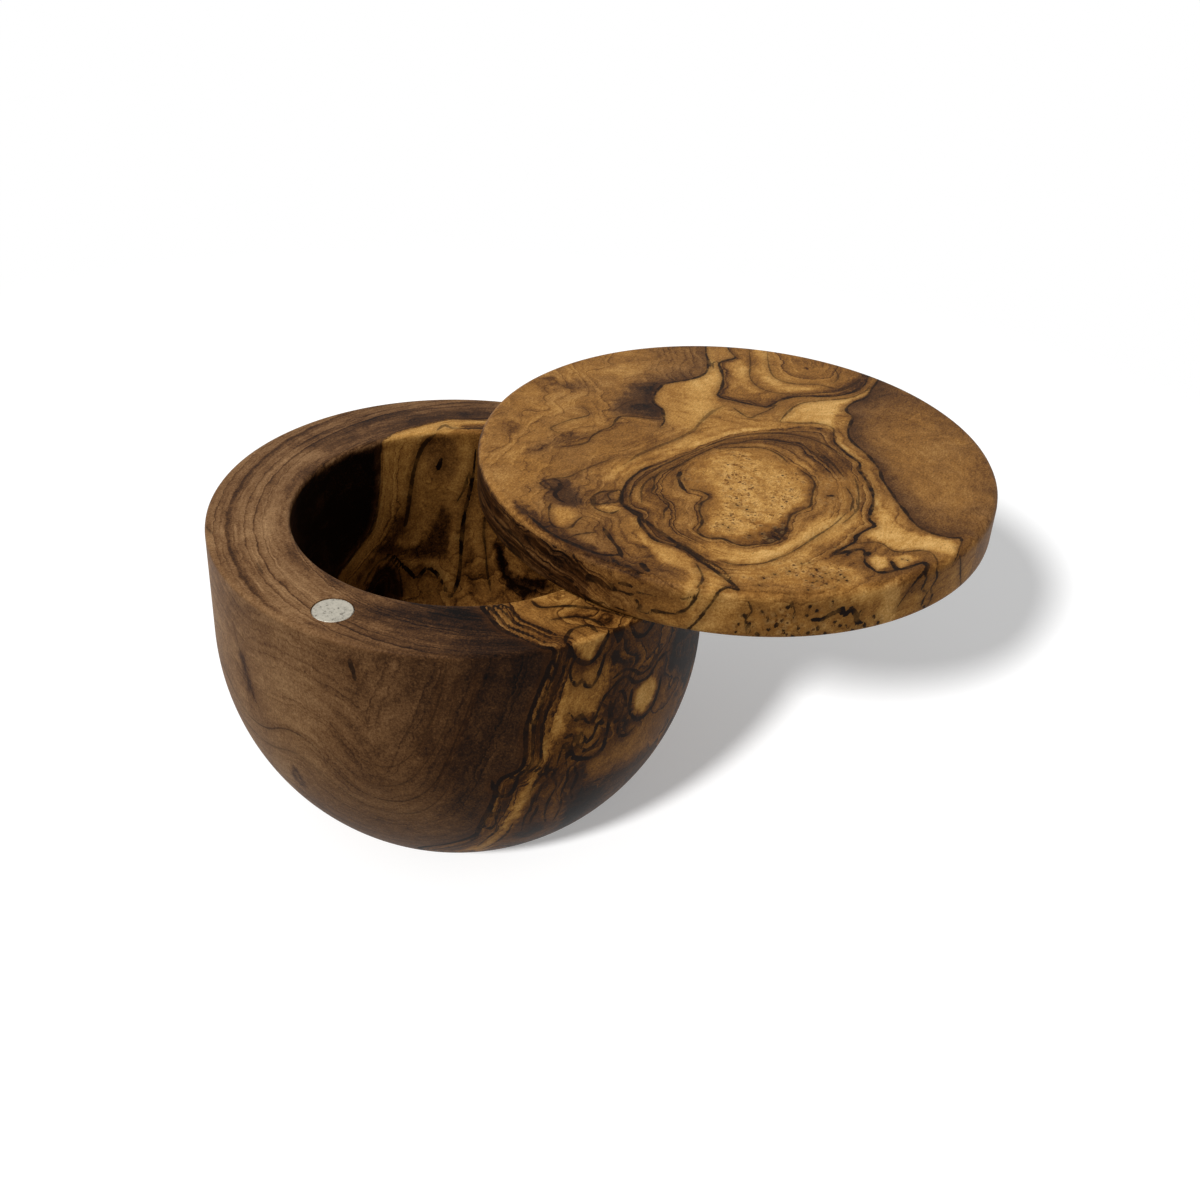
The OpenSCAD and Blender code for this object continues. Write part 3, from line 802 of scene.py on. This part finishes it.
patch(0.9, 0.72, (-5, 54, -5, 42, -6, 37, -10, 33.5, -15.5, 31, -17.5, 26, -18, 22.5, -16, 18, -15.5, 12,
    -10, 9, -6, 14, -2, 20, -3, 26, -2.8, 29, -2, 33, -1.8, 37, -2.2, 41, -3.5, 44), heart=0.1, lines=0.08)
patch(1.8, 0.88, (-4, 43, -6.5, 36, -11, 31, -11, 24, -8, 15, -5, 19, -5, 28, -3.5, 36), heart=0.0)
patch(1.5, 0.7, (0, 21, -6, 13, -15, 3, -26, -8, -24, -14, -20, -10, -8, 1, -3, 6, 4, 10, 16, 13.5, 9, 16,
    4, 17), heart=0.1, lines=0.3)
patch(0.9, 0.88, (6, 12, -2, 9, -8, 4.5, -16, -1, -17, -3, -12, -1, -5, 4.5, 0, 8, 6, 10.5))
patch(0.9, 0.84, (-20.5, -6, -24, -11, -27, -17, -31, -20.5, -29, -16, -25.5, -11, -21.5, -5))
patch(2, 0.58, (-26, -8, -36, -16, -40, -10, -44, -8, -38, -2, -30, 4, -24, 13, -16, 12, -12, 6, -18, -1),
    heart=0.3, lines=0.25, wild=0.5)
patch(1.0, 0.5, RING_EDGE, heart=0.28, lines=1.0, wild=0.04)
patch(2.5, 0.36, (12, 13, 20, 12.5, 21, 8, 24, 1, 25, -3, 20, -6, 14, -1, 8, 4, 6, 8), heart=0.45)
patch(2, 0.74, (-7, -38, 1, -40, 8, -37, 12, -29, 20, -22, 24, -24, 20, -31, 8, -43, 0, -45, -9, -41),
    heart=0.1, lines=0.35, burl=0.1)
patch(0.8, 0.88, (21, -24, 17, -29, 13, -34, 9, -38, 4, -42.5, -2, -44, -6, -43, -2, -41, 4, -39, 9, -35.5,
    13, -30, 18, -25), heart=0.0, lines=0.1)
patch(2.5, 0.62, (17, -9, 22, -8, 24, -14, 22, -22, 16, -22, 15.5, -15), burl=0.6, lines=0.35)
patch(1.6, 0.66, BURL_EDGE, heart=0.1, lines=0.3, burl=0.5)
patch(1.6, 0.84, (-7, -6, -6, -13, -5, -18, -4, -22, -5, -26, -7, -31, -5, -34, 0, -34, 6, -30, 8, -25,
    11, -21, 13, -17, 13, -9, 8, -5, 2, -1, -3, -2), heart=0.0, lines=0.08, burl=1)
patch(1.3, 0.4, (3, -29, 6, -29, 9, -27.5, 8.5, -32, 7, -35, 3, -37, -1, -36, 2, -33), burl=1)
patch(1.0, 0.16, (6, -31, 9, -30, 8, -34, 4, -36.5, 4, -34), heart=0.5, burl=0.6)
patch(0.8, 0.86, PALE_EDGE + (32, 33, 28, 29, 24, 25, 22.5, 18, 22, 14, 18, 16), heart=0.0, lines=0.08)
patch(1.0, 0.58, KNOT_EDGE, heart=0.1, lines=0.7, wild=0.08)
patch(0.8, 0.8, (1, 46, 1, 38, 2, 33, 4, 30, 7, 29.5, 5, 33, 4, 38, 3.5, 45))
patch(1.0, 0.8, (7, 54, 7, 42, 8, 35, 11, 32, 18, 33, 24, 35.5, 18, 34.8, 12, 35, 10, 40, 9.5, 50))
patch(1.5, 0.36, (20, 33, 26, 33, 31, 38, 33, 44, 29, 40, 24, 35), heart=0.3)
patch(0.9, 0.52, (36, 44, 34, 38, 31, 31.5, 28, 28.5) + BROWN_EDGE + (46, -29, 62, -36, 74, 0, 62, 38,
    44, 56), heart=0.55, lines=0.07, wild=1)
patch(6, 0.6, (32, 16, 34, -2, 38, -14, 46, -18, 52, 0, 50, 20, 40, 28), heart=0.36)
patch(1.0, 0.62, (26, 22, 24, 12, 25, 5, 28, -3, 29, -12, 30, -20, 33, -27, 27, -22, 27, -15, 26, -8,
    25, -2, 23, 4, 22, 10), heart=0.2, lines=0.5)
patch(0.6, 0.85, (22, 9, 23.5, 6, 26, 1, 26.5, 0, 24.5, 2.5, 22.6, 6))
patch(0.9, 0.86, (28, -15, 29, -20, 30, -24, 32, -28, 36, -30, 40, -31, 41.5, -33, 40, -36, 36, -35.3,
    33, -35.6, 29, -36, 27.5, -34, 25, -32, 25, -30, 26.5, -28, 27, -22), heart=0.0, lines=0.06)
patch(1.5, 0.46, (21, -34, 24, -33, 28, -36, 35, -36, 37, -40, 36, -46, 30, -50, 20, -48, 22, -40),
    heart=0.3, lines=0.3)
patch(0.7, 0.86, (25, -38, 23.8, -41, 25, -43.8, 27, -42.5, 28, -39.5, 30, -38, 33.5, -38.3, 31, -41,
    29.5, -42.5, 29, -40.5, 27.5, -40), heart=0.0, lines=0.05)
patch(1.3, 0.72, (-3, -49, 4, -45, 10, -42, 20, -43, 21, -47, 17, -51, 4, -50.5), heart=0.1, lines=0.15,
    burl=1.0)
patch(1.5, 0.42, (14, -37, 19, -35, 22, -38, 22.5, -43, 16, -42), heart=0.3, burl=0.5)
patch(2, 0.54, (-40, -16, -30, -14, -25, -22, -26, -28, -22, -33, -18, -42, -22, -58, -38, -50, -48, -30),
    heart=0.4, lines=0.4, wild=0.8)
patch(2, 0.62, (-54, -14, -46, -14, -43, -22, -40, -28, -38, -34, -44, -36, -54, -26), heart=0.3, lines=0.2)
patch(1.6, 0.32, (-40, -19, -38, -17, -34.5, -17.5, -33, -21, -32, -26.5, -36, -27.5, -38, -24), heart=0.85,
    lines=0.3)
patch(1.2, 0.5, (-29.5, -23, -27, -21, -25.5, -24, -27.5, -26, -29.5, -25.5), heart=0.7)
patch(1.2, 0.76, (-29, -27, -26, -26, -24.5, -27, -26.5, -28.5), heart=0.1)
patch(1.2, 0.66, (-37, -29, -34.5, -28.5, -32.8, -30, -34, -33.5, -36.5, -35), heart=0.15)
patch(1.5, 0.62, (-34, -37, -30, -36, -27.5, -38, -25.5, -43, -26, -46, -30, -45, -33, -41), heart=0.5,
    lines=0.2)
patch(1.5, 0.6, (-25.5, -33, -22, -32, -20, -37, -19, -43, -22, -44, -24, -39), heart=0.3)
patch(1.4, 0.24, (-46, -27, -41, -35, -35, -41.4, -28, -47, -20, -52, -16, -53, -24, -46.4, -29, -42,
    -35.4, -37, -41, -30), heart=0.5)
patch(1.0, 0.34, (-19.5, -41, -18, -42, -17.4, -44.5, -18.6, -44.5), heart=0.3)
patch(0.9, 0.8, (-22, -30, -20.5, -33, -18, -38.5, -13, -41, -10, -45, -9, -51, -10.5, -60, -12, -56,
    -10.6, -50, -12, -47, -16, -46, -17.4, -42, -20, -38), heart=0.1, lines=0.1)
patch(1.5, 0.54, (-16, -47, -12.5, -48, -11.6, -51, -13, -55, -19, -54, -18, -48), heart=0.4)
patch(0.7, 0.82, (-8, -48, -5, -49, -3, -51.5, -5, -54, -7, -57, -7.5, -52), heart=0.0)
patch(0.8, 0.3, lid_side(-186, 9.0, -170, 8.6, -150, 8.7, -138, 8.6, -129, 8.8, -123, 6, -126, -2, -160, -5,
    -190, -5), heart=0.7)
# the front of the edge gets pale tones, partly its own pale burl wood and partly painted light where the
# lamps fall on it
patch(1.2, 0.74, lid_side(-90, 5.5, -84, 7.5, -78, 6, -72, 6.5, -66, 5, -62, 1, -74, -2, -92, -1), burl=1.0)
patch(1.5, 0.8, lid_side(-100, 9.0, -80, 9.0, -60, 9.0, -60, 6.6, -80, 7.2, -100, 6.4))
patch(1.0, 0.8, lid_side(-62, 9.4, -58, 9.2, -58, 2, -62, 1), lines=0.1)
patch(1.0, 0.74, lid_side(-98, 9.2, -92, 9, -96, 1, -101, 1), lines=0.2)

# the left of the edge: level streaks take the place of the rings
across, back, up = x - LID_X, y - LID_Y, z - LID_Z
on_edge = (np.hypot(across, back) > LID_R - 1.3) & (up < LID_T - 0.6)
left_side = on_edge & (back < 0) & (across < -25)
turns = np.arctan2(back, across)
streaks = -60 + up * 0.9 + 1.6 * np.sin(turns * 6.0) + turns * 4
kinds["ring"] = np.where(left_side, streaks, kinds["ring"])
kinds["lines"][left_side] = 1.5

# the main veins, heaviest first
veins(0.42, 0.97, (23, -39, 22.8, -41.5, 24, -43.5, 25, -44.5, 27, -44, 29, -43, 31, -42, 33, -40.5,
    34.5, -40, 35, -41.5, 34, -43.5, 33, -46, 32.5, -52), RING_EDGE[56:64] + (22.5, -36.5, 23, -39))
veins(0.75, 0.97, (28, -40.3, 28.3, -42, 28.8, -43.2), (34.2, -40, 34.8, -41.5, 34, -43.5))
veins(0.45, 0.97, (-12, -10, -12.5, -12.5, -12.2, -15, -11.8, -17, -11, -18.4), RING_EDGE[30:58])
veins(0.42, 0.92, RING_EDGE[-18:] + RING_EDGE[:14], RING_EDGE[78:96] + (-3, -51.5, -4, -53, -6, -55),
    shade=(-1, 3.0, 0.35))
veins(0.38, 0.92, KNOT_EDGE[:48] + (37, 52), shade=(1, 3.5, 0.3))
veins(0.4, 0.92, (-5, 64, -5.5, 50, -5, 45, -5.3, 41, -6, 38, -8, 35.5, -10, 34, -13, 32.5, -15.5, 31,
    -16.5, 29, -17.5, 26, -18, 22.5, -17.5, 20, -16, 18, -15.7, 15, -15.5, 12, -16.5, 9),
    shade=(-1, 6.0, 0.45))
veins(0.38, 0.9, (36, 46, 35, 41, 33, 36, 31, 31, 28, 28) + BROWN_EDGE + (43, -30, 42, -34, 41.5, -38),
    shade=(1, 5.0, 0.4))
veins(0.3, 0.85, (-10, -17.5, -8, -18) + BURL_EDGE[6:20] + (-8, -35.5) + BURL_EDGE[20:34],
    shade=(1, 2.6, 0.35))
veins(0.3, 0.8, (13, -6, 15, -9, 15.7, -12, 15, -15, 14.5, -18, 14, -21, 12, -23, 10, -25, 9, -28, 8.5, -31,
    7.5, -34), shade=(-1, 2.5, 0.35))
veins(0.28, 0.8, (-11, -7, -14, -9, -16.5, -11.5, -17.5, -14, -17.5, -17, -18, -20, -16, -21, -15, -23,
    -14.5, -24.5, -15.5, -27, -15.5, -29.5), (-16, 13, -19, 13, -22, 13.5, -25, 13.2, -26, 11.5, -27, 8,
    -29, 6, -31, 3, -32, 0, -35, -2, -38, -3), (-14.5, -37.5, -12, -39, -10, -41, -8, -43.5, -5, -46.5,
    -3, -50), (-9.5, -45.5, -8.5, -49, -8.5, -51.6, -9.6, -54), (22, 14, 21.5, 8, 22.5, 5, 24, 2, 26, -1.5))
veins(1.1, 0.97, (-19.8, -46.8, -19.2, -48, -18.4, -49.4), (24, -37.4, 23.2, -38.6))
veins(0.5, 0.95, (-42, -32, -37.4, -38, -32, -42, -27.4, -44.6, -24.4, -44.4))
veins(0.55, 0.9, (-27.4, -34.6, -26.4, -37, -25.4, -39.4, -24.2, -42, -23.4, -45), (-37, -18.6, -36.2, -20,
    -37.4, -22.4, -36.8, -24.6, -35.4, -26), (-12, -10.4, -12.6, -12.6, -12.2, -15, -11.7, -17, -11, -18.2))
veins(0.26, 0.8, (-38, -26.6, -38.2, -29, -38, -32, -37.2, -35, -35.4, -36, -33.6, -35.4, -32.6, -33,
    -31.4, -31), (-40, -18.2, -38.2, -16.8, -36.6, -17.8, -36.4, -19.6, -38, -21.4, -39.6, -21), (-26, -20,
    -28.4, -21, -30, -23.4, -29.8, -26, -28.4, -28.2, -26, -29, -24.4, -27.6), (-37.6, -35.4, -38.8, -36.6,
    -36.6, -38.6, -35, -40), (-34.4, -40, -32, -37.8, -28.6, -36.6), (-30, -26, -27.4, -25.6, -25, -24.6),
    (-24.6, -19.4, -26.8, -21.6, -26.2, -24))
veins(0.45, 0.9, (17.6, -16.5, 19.2, -16.2), (5.5, -33.5, 7, -35))
veins(0.5, 0.5, (-2, 22, -5, 18, -7.5, 13, -9, 9, -12, 5, -16, 1, -20, -3, -24, -9))
veins(0.24, 0.7, (-26, -6, -30, -10, -33, -13, -35, -15.5, -38, -16.5, -40.5, -18.5, -40, -20, -38.5, -21,
    -37, -20, -36, -18), (0, 21, 2, 18, 3.5, 16.5, 5, 18, 8, 21, 10, 24), PALE_EDGE, (10, 15.5, 14, 15.5,
    18, 16, 21, 15, 22, 13.5), (-3, 45, -4, 44, -4, 41), (22, -34.5, 25, -33.5, 27, -34, 28, -35.5,
    29, -36.5, 31, -36.5, 34, -35.5, 36, -36, 36.8, -38, 37, -41), (-29.5, -22, -29, -26, -27, -25,
    -25, -24.5, -24.5, -22), (24.3, -8, 24.5, -12, 24.2, -17, 23.5, -21, 22, -24, 20, -27), (21, -23,
    18, -28, 14, -33, 10, -38, 7, -41, 3, -44, -2, -45, -5, -44))
veins(0.24, 0.75, (-22, -27, -22.5, -22, -21, -16, -18, -11, -14, -6, -9, -1, -4, 4, 0, 7, 5, 9, 11, 10,
    17, 8, 21, 4, 24, -1), (-14, -10, -12, -7, -8, -2, -3, 3, 0, 4, 5, 6.5, 10, 6.5, 15, 3.5, 18, 0,
    20, -3), (-4, 1, -1, 2, 2, 2.4, 6, 2.5, 9, 0, 10.5, -3), (22, -12, 23, -17, 22, -22), (17, 4, 20, -2,
    22, -8), (-20, -24, -20, -18, -18, -13))
veins(0.22, 0.6, (5, 54, 5, 45, 4.5, 38, 6, 33, 9, 30.5, 14, 30, 20, 31.5, 26, 34, 30, 39, 32, 45),
    (9.5, 54, 9.3, 46, 9.8, 40, 11.5, 37, 15, 35.5, 20, 36, 25, 34.5, 29, 38, 31, 43), (24, 37, 25.5, 41,
    25, 46), (-40, 28, -38, 26, -36.5, 25), (-34, 17, -32, 13, -36, 10, -39, 7, -40, 5, -37, 2.5), (-20, 23,
    -24, 20, -27, 15))
veins(0.35, 0.9, *[(a, b, a + 0.2, b - 0.3) for a, b in ((10.5, -43), (12, -42.5), (14.8, -46), (13, -48.7),
    (14, -47.5), (17.5, -46), (17, -48), (18.5, -48), (16, -50.5), (11, -52), (7.5, -54), (2, -51.5),
    (30, -39), (31, -39.3), (19.5, -39), (20, -38.2), (13.2, -45), (12.4, -47), (15.8, -47.6),
    (18.2, -46.8), (12, -49.4), (14.6, -49.6), (5, -47.4), (8, -46), (3, -49), (1, -24), (-1, -22.5),
    (-3, -31.5), (-4, -30.5), (1, -34), (3.5, -33))])

# the edge: veins that dip over it, fine lines at the left and burl flecks at the front
veins(0.34, 0.92, lid_side(-127, 9.8, -126, 8.6, -124, 7, -122, 6.2, -119, 5.8, -117, 6.2),
    lid_side(-95.6, 9.8, -96.6, 7.6, -98, 5, -99, 3, -100.4, 1, -101, 0.2), lid_side(-99.4, 9.8, -99.8, 8,
    -100.6, 6.4, -101.4, 5, -102.8, 4, -104.4, 3.3, -107, 3.4, -109, 2.6, -110.5, 3, -112, 4.6, -115, 5.4,
    -118, 4.8, -121, 5.4, -124, 4.6, -128, 5.6), lid_side(-130, 3, -127, 3.3, -125, 2.2, -122.5, 1,
    -120, 0.8, -118, 1.6, -114, 1.5, -110, 2, -106, 1.4), lid_side(-117, 6.2, -114, 7.2, -111, 6.4,
    -107, 6.6, -103, 6.8, -100.5, 8), lid_side(-52, 9.8, -51, 8, -51.8, 6, -50, 4.4, -51, 2.4, -49, 0.4),
    lid_side(-48.5, 9.4, -47.6, 7, -49, 5, -48, 3, -48.8, 1), lid_side(-40.5, 9.8, -39, 6, -37.4, 2,
    -36, 0))
veins(0.85, 1.0, lid_side(-77, 4.2, -75, 4.0, -73.5, 4.9, -72, 5.6, -70.6, 6.2), lid_side(-71.5, 5.6,
    -70, 4.6, -69, 5.8, -68, 4.6, -67, 3.6), lid_side(-68.6, 5.4, -67.6, 3.6, -66.8, 2.2, -65, 1.6))
veins(0.22, 0.85, lid_side(-172, 7.9, -163, 7.2, -155, 7.6, -148, 6.7, -142, 6.9, -136, 7.8),
    lid_side(-170, 5.6, -160, 5.2, -152, 5.8, -145, 5.2, -140, 6.0, -134, 7.0), lid_side(-172, 4.4,
    -160, 3.4, -150, 4.2, -143, 3.8, -137, 5.0), lid_side(-170, 2.4, -158, 1.6, -150, 2.4, -143, 2.2,
    -136, 3.6), lid_side(-160, 0.9, -150, 0.7, -142, 1.3, -134, 1.6, -131, 2.8), lid_side(-90, 8.4, -89, 6,
    -90, 4, -89.4, 1), lid_side(-81.5, 8.6, -80.8, 6.6, -80.4, 5.4))
for half, flecks in ((0.62, (-89.5, 3.8, -86, 5, -84.2, 3.4, -82.5, 2, -79.8, 3, -75.6, 2.2, -71, 2.4,
        -87.6, 1.4, -68, 0.8, -63.6, 3)), (0.4, (-90.6, 5.4, -89, 2, -87.2, 6.4, -85.6, 2.4, -84.6, 6,
        -83.2, 4.8, -81, 5, -80.6, 1, -78.4, 5.6, -77.6, 1.6, -76.4, 6.4, -74, 1, -72.4, 3.6, -69.6, 2,
        -66.8, 5, -65.4, 1.4, -62.4, 1.6, -92, 1.8, -91.4, 3.2, -78, 7.6, -82.4, 7.4, -73.4, 8))):
    veins(half, 0.95, *[lid_side(a, b, a + 0.5, b - 0.6) for a, b in zip(flecks[::2], flecks[1::2])])
kinds["tone"] -= 0.035
lid_figure.store()
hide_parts("lid")
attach(lid, "lid")


# The pin: a ground steel dowel on which the lid turns, driven into the lid from below and
# free to turn in the bowl's bore. Only a hairline of it shows, between lid and rim.
def bare_metal(name, shade, scratch_scale, rough):
    """Bare metal with fine scratches and dull spots."""
    material = bpy.data.materials.new(name)
    tree = bare_tree(material)
    place = node(tree, "ShaderNodeTexCoord").outputs["Object"]
    drawn = node(tree, "ShaderNodeMapping", {"Vector": place, "Scale": scratch_scale}).outputs[0]
    scratch = node(tree, "ShaderNodeTexNoise", {"Vector": drawn, "Scale": 1.0, "Detail": 3.0}).outputs[0]
    spots = node(tree, "ShaderNodeTexNoise", {"Vector": place, "Scale": 1400.0, "Detail": 3.0,
                                              "Roughness": 0.7}).outputs[0]
    worn = step(tree, spots, 0.42, 0.62)
    dark = tuple(0.55 * c for c in seen(*shade)[:3]) + (1.0,)
    colour = blend_in(tree, times(tree, worn, 0.45), seen(*shade), dark)
    pit = step(tree, spots, 0.60, 0.66)
    colour = blend_in(tree, times(tree, pit, 0.7), colour, seen(70, 62, 52))
    dull = maths(tree, "ADD", rough, times(tree, scratch, 0.25))
    height = maths(tree, "ADD", scratch, times(tree, pit, -1.5))
    bump = node(tree, "ShaderNodeBump", {"Height": height, "Strength": 0.4, "Distance": 0.00004})
    shader = node(tree, "ShaderNodeBsdfPrincipled",
                  {"Base Color": colour, "Metallic": 0.85, "Roughness": dull,
                   "Normal": bump.outputs[0]})
    node(tree, "ShaderNodeOutputMaterial", {"Surface": shader.outputs[0]})
    return material


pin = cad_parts["pivot_pin"]
pin.data.materials.clear()
pin.data.materials.append(bare_metal("ground_steel", shade=(150, 150, 152),
                                     scratch_scale=(900, 900, 9000), rough=0.22))

# The magnets: two nickel-plated discs, glued flush into pockets in the rim and in the underside
# of the lid, where they meet when the lid is shut. The plating is dull and finely scratched.
nickel = bare_metal("dull_nickel", shade=(184, 178, 164), scratch_scale=(500, 4000, 500), rough=0.45)
for part in ("rim_magnet", "lid_magnet"):
    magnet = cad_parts[part]
    magnet.data.materials.clear()
    magnet.data.materials.append(nickel)


# The floor: a plain pale sheet under everything, white to the camera apart from the shadow. It
# lies a hair below the bowl's flat foot, so that the two faces never share a plane.
FLOOR_SIZE, FLOOR_DROP = 6, 0.0001
SHADOW_ENDS, ALL_WHITE = 0.20, 0.34
WHITE = (1, 1, 1, 1)


def seen_ray(tree):
    """1 where a ray comes from the camera, straight, mirrored or through glass."""
    ray = node(tree, "ShaderNodeLightPath").outputs
    bent = maths(tree, "MAXIMUM", ray["Is Glossy Ray"], ray["Is Transmission Ray"])
    return maths(tree, "MAXIMUM", ray["Is Camera Ray"], bent)


bpy.ops.mesh.primitive_plane_add(size=FLOOR_SIZE, location=(0, 0, -FLOOR_DROP))
floor = bpy.context.object
floor.name = "floor"
floor_paint = bpy.data.materials.new("pale_floor")
tree = bare_tree(floor_paint)
place = node(tree, "ShaderNodeTexCoord").outputs["Object"]
away = node(tree, "ShaderNodeVectorMath", {0: place}, operation="LENGTH").outputs["Value"]
far = step(tree, away, SHADOW_ENDS, ALL_WHITE)
lit = node(tree, "ShaderNodeBsdfDiffuse", {"Color": (0.8, 0.8, 0.8, 1)})
bounce = node(tree, "ShaderNodeBsdfDiffuse", {"Color": (0.25, 0.25, 0.25, 1)})
lifted = node(tree, "ShaderNodeEmission", {"Color": WHITE, "Strength": 0.27})
both = node(tree, "ShaderNodeAddShader", {0: lit.outputs[0], 1: lifted.outputs[0]})
white = node(tree, "ShaderNodeEmission", {"Color": WHITE, "Strength": 1.0})
shown = node(tree, "ShaderNodeMixShader", {0: far, 1: both.outputs[0], 2: white.outputs[0]})
surface = node(tree, "ShaderNodeMixShader",
               {0: seen_ray(tree), 1: bounce.outputs[0], 2: shown.outputs[0]})
node(tree, "ShaderNodeOutputMaterial", {"Surface": surface.outputs[0]})
floor.data.materials.append(floor_paint)


# The light: a large soft lamp over the front left and a weak one at the front right, for the
# object alone, a low lamp at the front left that lays its shadow on the floor, and a pale sky.
def put(thing, place, right, up, back):
    """Sets an object down at a place, turned to these three directions."""
    turn = Matrix(np.array([right, up, back]).T.tolist()).to_4x4()
    thing.matrix_world = Matrix.Translation(place) @ turn
    bpy.context.scene.collection.objects.link(thing)


def hang(name, kind, place, target, power, receivers, **settings):
    """A lamp that faces the target and lights what this collection holds."""
    lamp = bpy.data.lights.new(name, kind)
    lamp.energy = power
    for setting, value in settings.items():
        setattr(lamp, setting, value)
    hung = bpy.data.objects.new(name, lamp)
    hung.light_linking.receiver_collection = receivers
    away = np.subtract(place, target)
    away /= np.linalg.norm(away)
    side = np.cross((0, 0, 1), away)
    side /= np.linalg.norm(side)
    put(hung, place, side, np.cross(away, side), away)


on_floor = bpy.data.collections.new("lit_floor")
on_floor.objects.link(floor)
off_floor = bpy.data.collections.new("lit_object")
off_floor.objects.link(floor)
off_floor.collection_objects[0].light_linking.link_state = "EXCLUDE"
middle = (0.02, 0, 0.05)
hang("key_lamp", "AREA", (-0.45, -0.38, 0.95), middle, power=7.5, receivers=off_floor, size=0.4)
hang("fill_lamp", "AREA", (0.45, -0.85, 0.50), middle, power=1.4, receivers=off_floor, size=0.6)
hang("shadow_lamp", "SUN", (-0.65, -1.18, 1.0), (0, 0, 0), power=4.0, receivers=on_floor,
     angle=7 * DEGREE)
SKY_LIGHT, WHITE_SKY = 0.35, 1.0
world = bpy.data.worlds.new("pale_sky")
bpy.context.scene.world = world
tree = bare_tree(world)
sky, white = (node(tree, "ShaderNodeBackground", {"Color": WHITE, "Strength": strength})
              for strength in (SKY_LIGHT, WHITE_SKY))
mixed = node(tree, "ShaderNodeMixShader", {0: seen_ray(tree), 1: sky.outputs[0], 2: white.outputs[0]})
node(tree, "ShaderNodeOutputWorld", {"Surface": mixed.outputs[0]})
bpy.context.scene.view_settings.view_transform = "Standard"

# The camera: where the photograph was taken from, in front of the bowl and looking down on it,
# found from the circles of the rim, the cavity, the lid and the magnet in the rim.
FOCAL_PIXELS, IMAGE_PIXELS = 1510.9, 1200
CAMERA_PLACE = (0.03004, -0.27102, 0.23130)
tilt, roll = math.radians(33.736), math.radians(3.735)
lens = bpy.data.cameras.new("camera")
lens.sensor_width = 36.0
lens.lens = FOCAL_PIXELS / IMAGE_PIXELS * lens.sensor_width
lens.clip_start, lens.clip_end = 0.01, 20.0
camera = bpy.data.objects.new("camera", lens)
forward = np.array([0, math.cos(tilt), -math.sin(tilt)])
level = np.array([1.0, 0, 0])
upright = np.cross(level, forward)
right = math.cos(roll) * level + math.sin(roll) * upright
up = -math.sin(roll) * level + math.cos(roll) * upright
put(camera, CAMERA_PLACE, right, up, -forward)
bpy.context.scene.camera = camera
